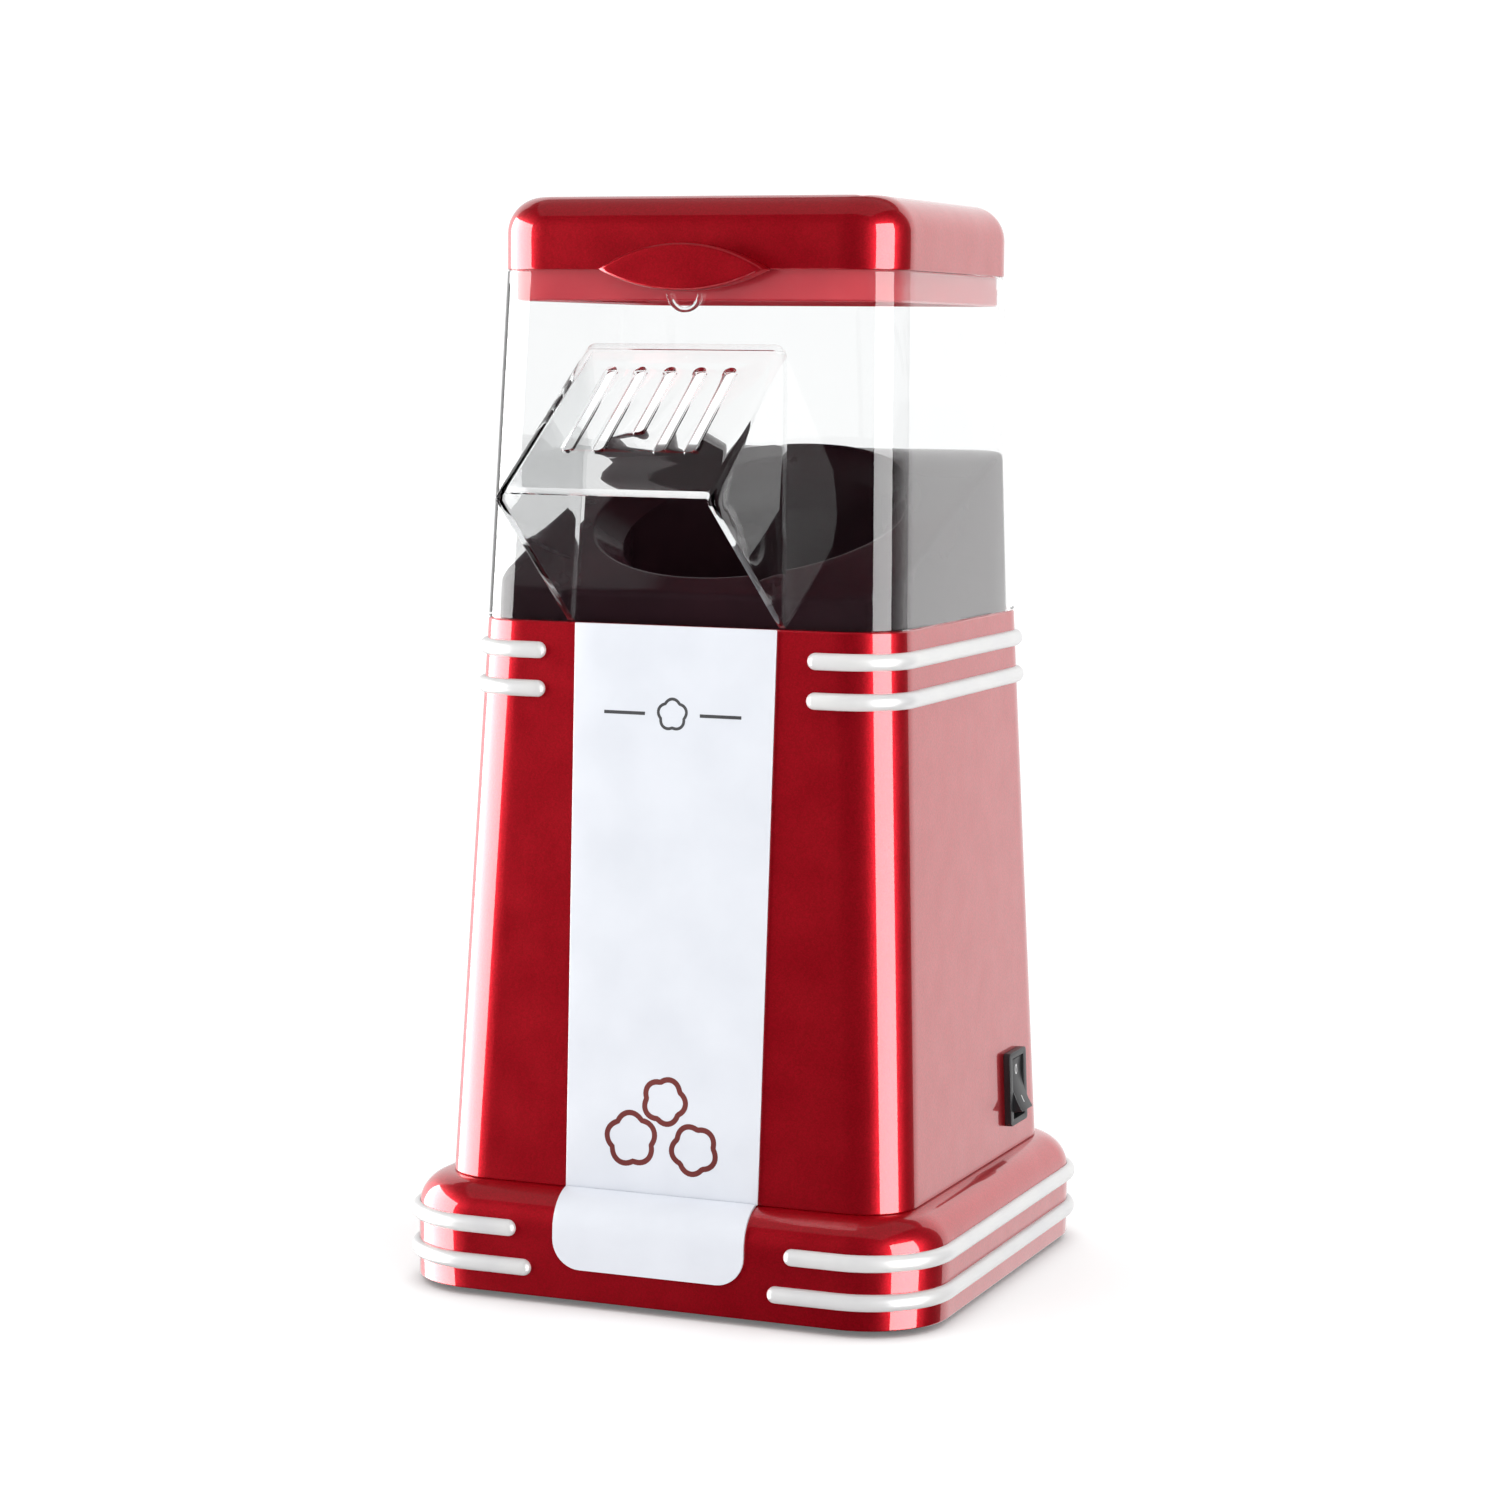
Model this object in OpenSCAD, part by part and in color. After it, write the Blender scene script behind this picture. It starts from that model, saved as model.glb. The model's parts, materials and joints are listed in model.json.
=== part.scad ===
// Retro hot-air popcorn maker, in millimetres.
// +Z is up, the front faces -Y, and the origin is on the table under the middle of the plinth.

/* [Plinth] */
// Width of the plinth
plinth_w = 154.8; // [152:0.1:158]
// Depth of the plinth
plinth_d = 149.4; // [147:0.1:153]
// Height of the plinth's top above the table
plinth_top = 30.9; // [30:0.1:32]
// Corner radius of the plinth in plan
plinth_r = 23; // [20:1:25]
// Radius of the plinth's rounded top edge
plinth_round = 10; // [9:0.5:10]
// Height of the rubber feet
foot_h = 2; // [1.5:0.5:2]

/* [Body] */
// Width of the body where it stands on the plinth
body_foot_w = 136.2; // [135:0.1:137]
// Depth of the body where it stands on the plinth
body_foot_d = 131.2; // [130:0.1:132]
// Width of the body at its top
body_top_w = 122.8; // [122:0.1:124]
// Depth of the body at its top
body_top_d = 117; // [116:0.1:118]
// Height of the body's top above the table
body_top = 185; // [184:0.5:186]
// Corner radius of the body, the cover and the lid in plan
body_r = 15.5; // [15:0.5:16]
// Wall thickness of the coloured shells
wall = 2.5; // [2.3:0.1:2.6]

/* [Cover and lid] */
// Width of the clear cover at its top
cover_top_w = 117.7; // [117:0.1:118]
// Depth of the clear cover at its top
cover_top_d = 104.6; // [104:0.1:105]
// Height of the clear cover's top above the table
cover_top = 280; // [278:1:282]
// Wall thickness of the clear parts and the lid
clear_wall = 2.2; // [2:0.1:2.4]
// Height of the lid above the cover
lid_h = 20; // [19:0.5:21]
// Radius of the lid's rounded top edge
lid_round = 10; // [9:0.5:11]
// Depth that the lid's skirt reaches down into the cover
skirt_drop = 8.3; // [6:0.1:10]

/* [Chute hood] */
// Outer width of the hood at its foot
hood_foot_w = 63.6; // [60:0.1:65]
// Outer width of the hood at its top edge
hood_top_w = 59.2; // [56:0.1:62]
// Distance from the machine's axis to the hood's lip
hood_reach = 105.6; // [100:0.1:108]
// Height of the hood's lip above the table
hood_lip = 223; // [218:0.1:226]
// Height of the hood's top edge above the table
hood_top = 260.4; // [256:0.1:262]
// Thickness of the hood
hood_wall = 2; // [1.8:0.1:2.2]
// Width of each steam slot in the hood
slot_w = 3.4; // [2.5:0.1:4]
// Distance of the steam slots below the hood's top edge
slot_start = 10.7; // [9:0.1:12]
// Length of a steam slot
slot_l = 36.9; // [30:0.1:38]
// Length of the middle steam slot
slot_middle_l = 28.8; // [24:0.1:30]

/* [Front panel and ribs] */
// Width of the white panel at the top of the body
panel_top_w = 58.8; // [54:0.1:60]
// Width of the white panel at the foot of the body
panel_foot_w = 56.4; // [52:0.1:58]
// Thickness of the white panel and the tongue
panel_t = 0.8; // [0.6:0.1:1]
// Height of a silver rib
rib_h = 4.6; // [4:0.1:5]
// How far a rib stands proud of its wall
rib_proud = 2.1; // [1.8:0.1:2.3]

/* [Popping chamber and fan] */
// Inner radius of the popping chamber and the funnel's throat
chamber_r = 38; // [37:0.5:38]
// Height of the chamber's floor above the table
chamber_floor = 112; // [111:1:114]
// Radius of the funnel's rim
rim_r = 46; // [44:1:47]
// Radius of the fan's impeller
impeller_r = 40; // [38:1:41]
// Number of blades on the impeller
blades = 12; // [8:1:14]
// Turns of the heater coil
coil_turns = 6; // [4:1:6]

/* [Switch] */
// Width of the switch's bezel, front to back
bezel_w = 15; // [14:0.5:15]
// Height of the switch's bezel
bezel_h = 21; // [20:0.5:21]
// Distance of the switch behind the machine's axis
switch_y = 32.4; // [30:0.1:34]
// Height of the switch's middle above the table
switch_z = 49; // [48:0.5:50]
// Angle that the rocker is pressed in at rest
rocker_tilt = 12; // [8:1:12]

/* [Hidden] */
$fn = 96;
eps = 0.01; // thickness of the slabs that hull() blends
gap = 0.3; // clearance between pieces that part from each other
flush = 0.02; // clearance between faces that touch
hull_fn = 40;
slope = 0.4; // rise of the funnel's sloping face for each millimetre towards the back
slope_angle = atan(slope);
slope_z = 215.3; // height of the sloping face above the machine's axis
funnel_top = 231;
deck_z = 179;
deck_t = 3;
housing_z = 46; // underside of the fan housing
gland_z = 46; // height of the cord gland's middle
housing_top = 74;
housing_r = 47;
heater_r = 45;
motor_r = 14;
motor_z = 9.5;
motor_top = 41;
shaft_r = 1.15;
bush_bore = 1.2;
screw_r = 1.5;
pilot_r = 1.55; // bore that a screw cuts its thread in
through_r = 1.7; // bore that a screw passes through
head_r = 3;
sink_r = 3.3; // recess for a screw's head
base_screw = [66, 30];
body_screw = [58.5, 56];
deck_screw = [52.5, 49.5];
pillar = [45, 42];
foot_at = [58, 54];
bracket_reach = 34;
coil_pitch = 3.6;
coil_r = 26;
coil_z = 81;
wire_r = 0.6;
side_angle = atan((body_foot_w - body_top_w) / 2 / (body_top - plinth_top));
front_angle = atan((body_foot_d - body_top_d) / 2 / (body_top - plinth_top));

function mix(a, b, t) = a + (b - a) * t;
function body_w(z) = mix(body_foot_w, body_top_w, (z - plinth_top) / (body_top - plinth_top));
function body_d(z) = mix(body_foot_d, body_top_d, (z - plinth_top) / (body_top - plinth_top));
function to_hundredths(v) = round(v * 100) / 100;
function cover_w(z) = mix(body_top_w, cover_top_w, (z - body_top) / (cover_top - body_top));
function cover_d(z) = mix(body_top_d, cover_top_d, (z - body_top) / (cover_top - body_top));
function hood_half(z) = mix(hood_foot_w, hood_top_w, (z - body_top) / (hood_top - body_top)) / 2;

// ---- shared shapes ----

// Rectangle with round corners, centred on the origin
module rounded_rect(w, d, r) {
    square([w - 2 * r, d], center = true);
    square([w, d - 2 * r], center = true);
    for (x = [-1, 1], y = [-1, 1])
        translate([x * (w / 2 - r), y * (d / 2 - r)]) circle(r);
}

// Upright slab with round corners
module slab(w, d, r, z, h) {
    translate([0, 0, z]) linear_extrude(h) rounded_rect(w, d, r);
}

// Rounded block that tapers from one slab to another
module tapered(z0, w0, d0, z1, w1, d1, r) {
    hull() {
        slab(w0, d0, r, z0, eps, $fn = hull_fn);
        slab(w1, d1, r, z1 - eps, eps, $fn = hull_fn);
    }
}

// The body's outer form between two heights, made smaller all round by inset
module body_block(z0, z1, inset = 0) {
    tapered(z0, body_w(z0) - 2 * inset, body_d(z0) - 2 * inset,
            z1, body_w(z1) - 2 * inset, body_d(z1) - 2 * inset, body_r - inset);
}

// The clear cover's outer form between two heights, made smaller all round by inset
module cover_block(z0, z1, inset = 0) {
    tapered(z0, cover_w(z0) - 2 * inset, cover_d(z0) - 2 * inset,
            z1, cover_w(z1) - 2 * inset, cover_d(z1) - 2 * inset, body_r - inset);
}

// Block with upright sides and a rounded top edge, made smaller on its sides and top by inset
module crowned(w, d, r, z0, z1, round, inset = 0) {
    r1 = r - inset;
    x1 = w / 2 - r;
    y1 = d / 2 - r;
    translate([-x1, -y1, z0]) cube([2 * x1, 2 * y1, z1 - inset - z0]);
    for (x = [-1, 1], y = [-1, 1]) translate([x * x1, y * y1, 0])
        rotate_extrude() edge_profile(r1, z0, z1 - inset, round - inset);
    for (side = [0, 180]) rotate([0, 0, side]) {
        translate([x1, y1, 0]) rotate([90, 0, 0]) linear_extrude(2 * y1)
            edge_profile(r1, z0, z1 - inset, round - inset);
        translate([-x1, y1, 0]) rotate([90, 0, 90]) linear_extrude(2 * x1)
            edge_profile(r1, z0, z1 - inset, round - inset);
    }
}

// Upright strip of width r whose outer top corner is rounded
module edge_profile(r, z0, z1, round) {
    translate([0, z0]) square([r, z1 - round - z0]);
    translate([0, z0]) square([r - round, z1 - z0]);
    translate([r - round, z1 - round]) intersection() {
        circle(round);
        square(round + 1);
    }
}

// One child at each of the four places (+-x, +-y)
module at_corners(p) {
    for (x = [-1, 1], y = [-1, 1]) translate([x * p.x, y * p.y, 0]) children();
}

// Cylinder from one height to another
module post(r, z0, z1) {
    translate([0, 0, z0]) cylinder(r = r, h = z1 - z0);
}

// Hollow cylinder from one height to another
module tube(outer, inner, z0, z1) {
    difference() {
        post(outer, z0, z1);
        post(inner, z0 - 1, z1 + 1);
    }
}

// Screw pointing up, its head's underside at height z
module screw_up(z, length, head = head_r, head_h = 1.8) {
    post(screw_r, z - eps, z + length);
    difference() {
        post(head, z - head_h, z);
        translate([0, 0, z - head_h]) cube([0.8, head * 1.2, 1.6], center = true);
        translate([0, 0, z - head_h]) cube([head * 1.2, 0.8, 1.6], center = true);
    }
}

// Screw pointing down, its head's underside at height z
module screw_down(z, length, head = head_r, head_h = 1.4) {
    translate([0, 0, z]) mirror([0, 0, 1]) translate([0, 0, -z]) screw_up(z, length, head, head_h);
}

// Faces of a tube whose points are listed ring after ring
function tube_faces(rings, sides) = concat(
    [[for (s = [0 : sides - 1]) s]],
    [for (i = [0 : rings - 2], s = [0 : sides - 1])
        let (n = (s + 1) % sides)
        [i * sides + s, (i + 1) * sides + s, (i + 1) * sides + n, i * sides + n]],
    [[for (s = [sides - 1 : -1 : 0]) (rings - 1) * sides + s]]);

// Wire through a list of points, a tube of eight sides
module wire(points, r) {
    sides = 8;
    last = len(points) - 1;
    aside = [0, -1, -0.3]; // a direction that no wire runs along
    rings = [for (i = [0 : last])
        let (d = points[min(i + 1, last)] - points[max(i - 1, 0)],
             u = cross(d, aside) / norm(cross(d, aside)),
             v = cross(d, u) / norm(d))
        for (s = [0 : sides - 1]) points[i] + r * (cos(360 * s / sides) * u + sin(360 * s / sides) * v)];
    polyhedron(rings, tube_faces(last + 1, sides), convexity = 6);
}

// ---- ribs ----

// Half-round section of a rib, its flat back on the Y axis
module rib_profile() {
    intersection() {
        circle(rib_h / 2);
        translate([flush, -rib_h]) square([rib_proud - flush, 2 * rib_h]);
    }
}

// Straight rib along +X, lying against a wall that faces -Y
module rib_straight(length) {
    rotate([90, 0, 90]) linear_extrude(length) mirror([1, 0]) rib_profile();
}

// Round end of a rib
module rib_end() {
    intersection() {
        sphere(rib_h / 2);
        translate([-rib_h, -rib_proud, -rib_h]) cube([2 * rib_h, rib_proud - flush, 2 * rib_h]);
    }
}

// Silver rib round the sides and the back of a rounded rectangle, open for open_w at the front
module rib_ring(w, d, r, z, open_w) {
    translate([0, 0, z]) {
        for (side = [0, 1]) mirror([side, 0, 0]) {
            translate([open_w / 2, -d / 2, 0]) {
                rib_straight(w / 2 - r - open_w / 2);
                rib_end();
            }
            translate([w / 2 - r, -d / 2 + r, 0])
                rotate([0, 0, -90]) rotate_extrude(angle = 90) translate([r, 0]) rib_profile();
            translate([w / 2, -d / 2 + r, 0]) rotate([0, 0, 90]) rib_straight(d - 2 * r);
            translate([w / 2 - r, d / 2 - r, 0])
                rotate_extrude(angle = 90) translate([r, 0]) rib_profile();
        }
        translate([w / 2 - r, d / 2, 0]) rotate([0, 0, 180]) rib_straight(w - 2 * r);
    }
}

// ---- plinth ----

module rubber_feet() {
    color("#202020") at_corners(foot_at) {
        post(7, 0, foot_h);
        post(2.5, foot_h - eps, foot_h + 5);
    }
}

module bottom_plate() {
    inset = wall + gap;
    color("#2b2b2b") difference() {
        slab(plinth_w - 2 * inset, plinth_d - 2 * inset, plinth_r - inset, foot_h, 3);
        for (i = [-5 : 5]) {
            reach = sqrt(39 * 39 - 49 * i * i);
            translate([i * 7, 0, foot_h]) cube([3.2, 2 * reach, 10], center = true);
        }
        at_corners(foot_at) post(2.55, 0, 10);
        at_corners(base_screw) {
            post(through_r, 0, 10);
            post(sink_r, 0, foot_h + 1.8);
        }
    }
}

module base_screws() {
    color("#b0b0b0") at_corners(base_screw) screw_up(foot_h + 1.8, 12, head_r, 1.6);
}

module plinth_shell() {
    color("#b5121b") difference() {
        union() {
            difference() {
                crowned(plinth_w, plinth_d, plinth_r, foot_h, plinth_top, plinth_round);
                crowned(plinth_w, plinth_d, plinth_r, foot_h - 1, plinth_top, plinth_round, wall);
                slab(100, 94, 12, plinth_top - 6, 10);
            }
            at_corners(base_screw) post(4, foot_h + 3 + flush, plinth_top - 2.3);
        }
        at_corners(base_screw) post(pilot_r, 0, 18);
        at_corners(body_screw) post(through_r, 20, 40);
    }
}

module plinth_rib(z, open_w) {
    color("#d8d8d8") rib_ring(plinth_w, plinth_d, plinth_r, z, open_w);
}

module plinth_trim_lower() {
    plinth_rib(9.7, 73.8);
}

module plinth_trim_upper() {
    plinth_rib(20.2, 83);
}

module front_tongue() {
    half = 27.9;
    corner = 8;
    low = 10.7;
    color("#e8edf5") intersection() {
        difference() {
            crowned(plinth_w + 2 * panel_t, plinth_d + 2 * panel_t, plinth_r + panel_t, foot_h,
                    plinth_top + panel_t, plinth_round + panel_t);
            crowned(plinth_w + 2 * flush, plinth_d + 2 * flush, plinth_r + flush, foot_h - 1,
                    plinth_top + flush, plinth_round + flush);
        }
        translate([0, -body_foot_d / 2 - 0.9, 0]) rotate([90, 0, 0]) linear_extrude(20)
            translate([0, low]) union() {
                translate([-half, corner]) square([2 * half, 20]);
                translate([corner - half, 0]) square([2 * (half - corner), corner + 1]);
                for (side = [-1, 1]) translate([side * (half - corner), corner]) circle(corner);
            }
    }
}

// ---- body ----

// Puts children, drawn on the YZ plane, on the sloping side wall at height z
module on_side(y, z) {
    translate([body_w(z) / 2, y, z]) rotate([0, -side_angle, 0]) children();
}

module body_shell() {
    color("#c01019") difference() {
        union() {
            difference() {
                body_block(plinth_top, body_top);
                body_block(plinth_top - 1, body_top + 1, wall);
            }
            at_corners(body_screw) post(4.5, plinth_top, 48);
            at_corners(deck_screw) post(5, 165, deck_z);
        }
        at_corners(body_screw) post(pilot_r, 20, 46);
        at_corners(deck_screw) post(pilot_r, 168, 190);
        on_side(switch_y, switch_z) cube([30, 13.2, 19.2], center = true);
        translate([0, 50, gland_z]) rotate([-90, 0, 0]) cylinder(r = 5.2, h = 30);
    }
}

module body_screws() {
    color("#b0b0b0") at_corners(body_screw) screw_up(plinth_top - wall, 16);
}

module front_panel() {
    length = (body_top - plinth_top) / cos(front_angle);
    color("#eef2f8") translate([0, -body_foot_d / 2 - flush, plinth_top])
        rotate([-front_angle, 0, 0]) rotate([90, 0, 0]) linear_extrude(panel_t)
            polygon([[-panel_foot_w / 2, 0.1], [panel_foot_w / 2, 0.1],
                     [panel_top_w / 2, length], [-panel_top_w / 2, length]]);
}

module body_rib(z) {
    low = z - rib_h / 2;
    color("#d8d8d8") rib_ring(to_hundredths(body_w(low)), to_hundredths(body_d(low)), body_r, z, 80.8);
}

module body_trim_lower() {
    body_rib(166.6);
}

module body_trim_upper() {
    body_rib(177.1);
}

// ---- switch and mains ----

// The rocker's outline, depth by height, at its middle position, about the pivot
module rocker_outline() {
    polygon([[4.7, 7.6], [3.3, 0], [4.7, -7.6], [1, -7.4], [-3, -3.2], [-3, 3.2], [1, 7.4]]);
}

module switch_housing() {
    color("#1c1c1e") on_side(switch_y, switch_z) {
        difference() {
            union() {
                translate([flush, -bezel_w / 2, -bezel_h / 2]) cube([2, bezel_w, bezel_h]);
                translate([-11, -6.4, -9.4]) cube([12, 12.8, 18.8]);
            }
            translate([-8, -5.1, -8.7]) cube([20, 10.2, 17.4]);
            translate([-1.5, 0, 0]) rotate([90, 0, 0])
                cylinder(r = 1.25, h = 12.4, center = true);
        }
    }
}

module switch_terminals() {
    color("#c9a54a") on_side(switch_y, switch_z) for (z = [-5, 0, 5])
        difference() {
            translate([-18.5, -2.4, z - 0.4]) cube([7.5 - flush, 4.8, 0.8]);
            translate([-16.5, 0, z]) cylinder(r = 0.9, h = 2, center = true);
        }
}

module switch_rocker() {
    color("#151517") on_side(switch_y, switch_z) translate([-1.5, 0, 0])
        rotate([0, -rocker_tilt, 0]) rotate([90, 0, 0]) {
            linear_extrude(9.6, center = true) rocker_outline();
            cylinder(r = bush_bore, h = 12, center = true);
        }
}

module cord_gland() {
    color("#181818") translate([0, 0, gland_z]) rotate([-90, 0, 0]) difference() {
        union() {
            translate([0, 0, 57]) cylinder(r = 5, h = 11);
            translate([0, 0, 65.4]) cylinder(r = 7, h = 2.6);
            translate([0, 0, 59.6]) cylinder(r = 6.6, h = 2);
        }
        translate([0, 0, 50]) cylinder(r = 3.4, h = 30);
    }
}

module terminal_block() {
    color("#ece6d4") difference() {
        translate([-16, 49, foot_h + 3]) cube([32, 12, 11]);
        for (x = [-10.5, 0, 10.5]) {
            translate([x, 55, 12]) cylinder(r = 1.8, h = 10);
            translate([x, 55, 10]) rotate([90, 0, 0]) cylinder(r = 1.6, h = 20, center = true);
        }
    }
}

module rectifier_board() {
    color("#2f6b3a") translate([-46.8, -15, foot_h + 3]) cube([1.6, 30, 30]);
}

module rectifier_diodes() {
    color("#1b1b1b") for (z = [12 : 6 : 30])
        translate([-45.2 + 1.42, 0, z]) rotate([90, 0, 0]) {
            cylinder(r = 1.4, h = 5.2, center = true);
            cylinder(r = 0.4, h = 14, center = true);
        }
}

module lead_wires() {
    r = 1.1;
    live = [[47, 32.4, 44.4], [43, 34, 37], [30, 40, 26], [12, 48, 22], [10.5, 53, 20], [10.5, 55, 16.2]];
    switched = [[47.4, 32.4, 54.4], [51, 20, 60], [53.5, 10, 70], [53.5, 8, 79], [51.4, 8, 84]];
    heater_out = [[51.4, -8, 84], [53.5, -8, 79], [53.5, -16, 66], [50, -32, 48], [22, -42, 36],
                  [-24, -38, 30], [-43.7, -12, 28]];
    to_motor = [[-43.7, 6, 9], [-24, 5, 7.4], [-9, 0, 8.2]];
    neutral = [[-10.5, 55, 16.2], [-10.5, 53, 20], [-20, 44, 24], [-36, 20, 27], [-43.7, 10, 27]];
    color("#d9d4c8") for (route = [live, switched, heater_out, to_motor, neutral]) wire(route, r);
}

// ---- motor and fan ----

module motor_can() {
    color("#9a9da0") difference() {
        post(motor_r, motor_z, motor_top);
        post(motor_r - 1, motor_z + 1.2, motor_top - 1.5);
        post(3.02, 0, 60);
        for (x = [-8, 8]) translate([x, 0, 0]) post(1.25, 36, 50);
        for (a = [45 : 90 : 315]) rotate([0, 0, a]) translate([9, 0, 0]) post(1.2, 5, 20);
    }
}

module motor_magnets() {
    color("#4a4a4c") for (a = [25, 205]) rotate([0, 0, a]) translate([0, 0, 14])
        rotate_extrude(angle = 130) translate([10.1, 0]) square([2.85, 20]);
}

module motor_bushes() {
    color("#b98b45") {
        tube(3, bush_bore, motor_z - 0.5, motor_z + 3.5);
        tube(3, bush_bore, motor_top - 3, motor_top + 1);
    }
}

module motor_brushes() {
    color("#333333") for (a = [0, 180]) rotate([0, 0, a])
        translate([3.7, -1.5, 34.6]) cube([5, 3, 2.2]);
}

module motor_rotor() {
    color("#8c6a4f") difference() {
        union() {
            for (a = [0 : 120 : 240]) rotate([0, 0, a]) {
                translate([0, -2, 16]) cube([8.4, 4, 16]);
                intersection() {
                    tube(9.6, 7.6, 16, 32);
                    rotate([0, 0, -50]) translate([0, 0, 16])
                        rotate_extrude(angle = 100) square([12, 16]);
                }
                translate([2.5, -3.4, 15]) cube([4.9, 6.8, 18]);
            }
            post(3.5, 14.5, 37);
        }
        post(shaft_r + flush, 0, 60);
    }
}

module motor_shaft() {
    color("#c8cacc") post(shaft_r, motor_z - 1, 63.5);
}

module fan_impeller() {
    color("#3a3d40") difference() {
        union() {
            post(5, 48.8, 62);
            post(impeller_r, 61, 62.4);
            for (i = [0 : blades - 1]) rotate([0, 0, 360 * i / blades])
                translate([11, 0, 50]) rotate([0, 0, 28]) cube([impeller_r - 13.4, 1, 11.5]);
        }
        post(shaft_r + flush, 40, 70);
    }
}

module motor_bracket() {
    color("#c2c4c6") difference() {
        union() {
            post(motor_r + 1, motor_top + flush, motor_top + 2);
            for (a = [90 : 120 : 330]) rotate([0, 0, a]) {
                translate([0, -4, motor_top + flush]) cube([bracket_reach, 8, 2 - flush]);
                translate([bracket_reach, 0, 0]) post(5, motor_top + flush, motor_top + 2);
            }
        }
        post(4, 30, 60);
        for (x = [-8, 8]) translate([x, 0, 0]) post(1.35, 30, 60);
        for (a = [90 : 120 : 330]) rotate([0, 0, a]) translate([bracket_reach, 0, 0])
            post(through_r, 30, 60);
    }
}

module motor_grommets() {
    color("#252525") for (a = [90 : 120 : 330]) rotate([0, 0, a])
        translate([bracket_reach, 0, 0]) tube(4.5, through_r, motor_top + 2 + flush, housing_z - flush);
}

module motor_screws() {
    color("#b0b0b0") for (x = [-8, 8]) translate([x, 0, 0]) {
        post(1.2, motor_top - 4, motor_top + 2 + eps);
        post(2.3, motor_top + 2 + flush, motor_top + 3.4);
    }
}

module bracket_screws() {
    color("#b0b0b0") for (a = [90 : 120 : 330]) rotate([0, 0, a])
        translate([bracket_reach, 0, 0]) screw_up(motor_top, 7.2);
}

module fan_housing() {
    color("#232527") difference() {
        union() {
            post(housing_r, housing_z, housing_top);
            post(50, housing_top - 2, housing_top);
            at_ears() {
                translate([40, -4, housing_top - 4]) cube([norm(pillar) - 40, 8, 4]);
                translate([norm(pillar), 0, 0]) post(5, housing_top - 4, housing_top);
            }
        }
        post(housing_r - 2, housing_z + 2, housing_top + 1);
        post(24, 0, 100);
        for (a = [90 : 120 : 330]) rotate([0, 0, a])
            translate([bracket_reach, 0, 0]) post(pilot_r, 40, 60);
        at_corners(pillar) post(through_r, 60, 80);
    }
}

// One child on each of the four lines from the axis to the deck's pillars, which run along +X
module at_ears() {
    a = atan2(pillar.y, pillar.x);
    for (angle = [a, 180 - a, 180 + a, -a]) rotate([0, 0, angle]) children();
}

module housing_screws() {
    color("#b0b0b0") at_corners(pillar) screw_up(housing_top - 4, 14);
}

// ---- heater ----

module heater_housing() {
    lip = 0.8;
    top = deck_z - flush;
    color("#b9bcbf") difference() {
        union() {
            post(heater_r, housing_top + flush, top);
            post(50, housing_top + flush, housing_top + lip);
            post(50, top - lip, top);
        }
        post(heater_r - lip, housing_top + lip, top + 1);
        post(41, 0, 100);
        for (y = [-8, 8]) translate([40, y, 84]) rotate([0, 90, 0]) cylinder(r = 2, h = 20);
    }
}

module heater_terminals() {
    color("#c9a54a") for (y = [-8, 8]) translate([40.5, y, 84]) rotate([0, 90, 0]) {
        cylinder(r = 1.9, h = 9.5);
        translate([0, 0, 4.6]) cylinder(r = 3, h = 2);
    }
}

module heater_former() {
    notch = 1.9;
    color("#cfc6a8") difference() {
        union() for (a = [0, 90]) rotate([0, 0, a]) {
            translate([-27, -0.4, 76]) cube([54, 0.8, 30]);
            translate([-43.5, -0.4, housing_top + 0.8 + flush]) cube([87, 0.8, 3]);
        }
        for (i = [0 : 4 * coil_turns]) rotate([0, 0, 90 * i])
            translate([24.6, -2, coil_z + i * coil_pitch / 4 - notch / 2]) cube([4, 4, notch]);
    }
}

// The heater wire: an eight-sided tube swept along a helix
module heater_coil() {
    sides = 8;
    steps = 24;
    rings = coil_turns * steps;
    points = [for (i = [0 : rings], s = [0 : sides - 1])
        let (a = 360 * i / steps, b = 360 * s / sides, r = coil_r + wire_r * cos(b))
        [r * cos(a), r * sin(a), coil_z + coil_pitch * i / steps + wire_r * sin(b)]];
    color("#8f8a86") polyhedron(points, tube_faces(rings + 1, sides), convexity = 10);
}

module thermostat() {
    color("#d0d0ce") translate([0, heater_r + flush, 124]) rotate([-90, 0, 0]) {
        cylinder(r = 8, h = 6);
        cylinder(r = 6, h = 9);
        for (x = [-3, 3]) translate([x - 1.5, -0.4, 8]) cube([3, 0.8, 6]);
    }
}

module thermal_fuse() {
    color("#d7d7d2") translate([16, heater_r + 0.4, 116]) {
        cylinder(r = 2, h = 14);
        translate([0, 0, -5]) cylinder(r = 0.5, h = 24);
    }
}

// ---- chamber ----

module top_deck() {
    color("#2a2a2c") difference() {
        union() {
            slab(117.6, 111.8, 12.7, deck_z, deck_t);
            at_corners(pillar) post(4, housing_top + flush, deck_z + 1);
        }
        post(chamber_r + 1.5, 150, 200);
        at_corners(deck_screw) {
            post(through_r, 170, 190);
            post(sink_r, deck_z + 1.5, 190);
        }
        at_corners(pillar) post(pilot_r, 70, 87);
    }
}

module deck_screws() {
    color("#b0b0b0") at_corners(deck_screw) screw_down(deck_z + 1.5, 12);
}

module chamber_ring() {
    color("#8e8a80") tube(46, chamber_r + 1.2, deck_z + deck_t + flush, deck_z + deck_t + 1.2);
}

module chamber_gasket() {
    z = deck_z + deck_t + 1.2;
    color("#a33a2a") tube(43, chamber_r + 1.2, z + flush, z + 0.8);
}

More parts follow.
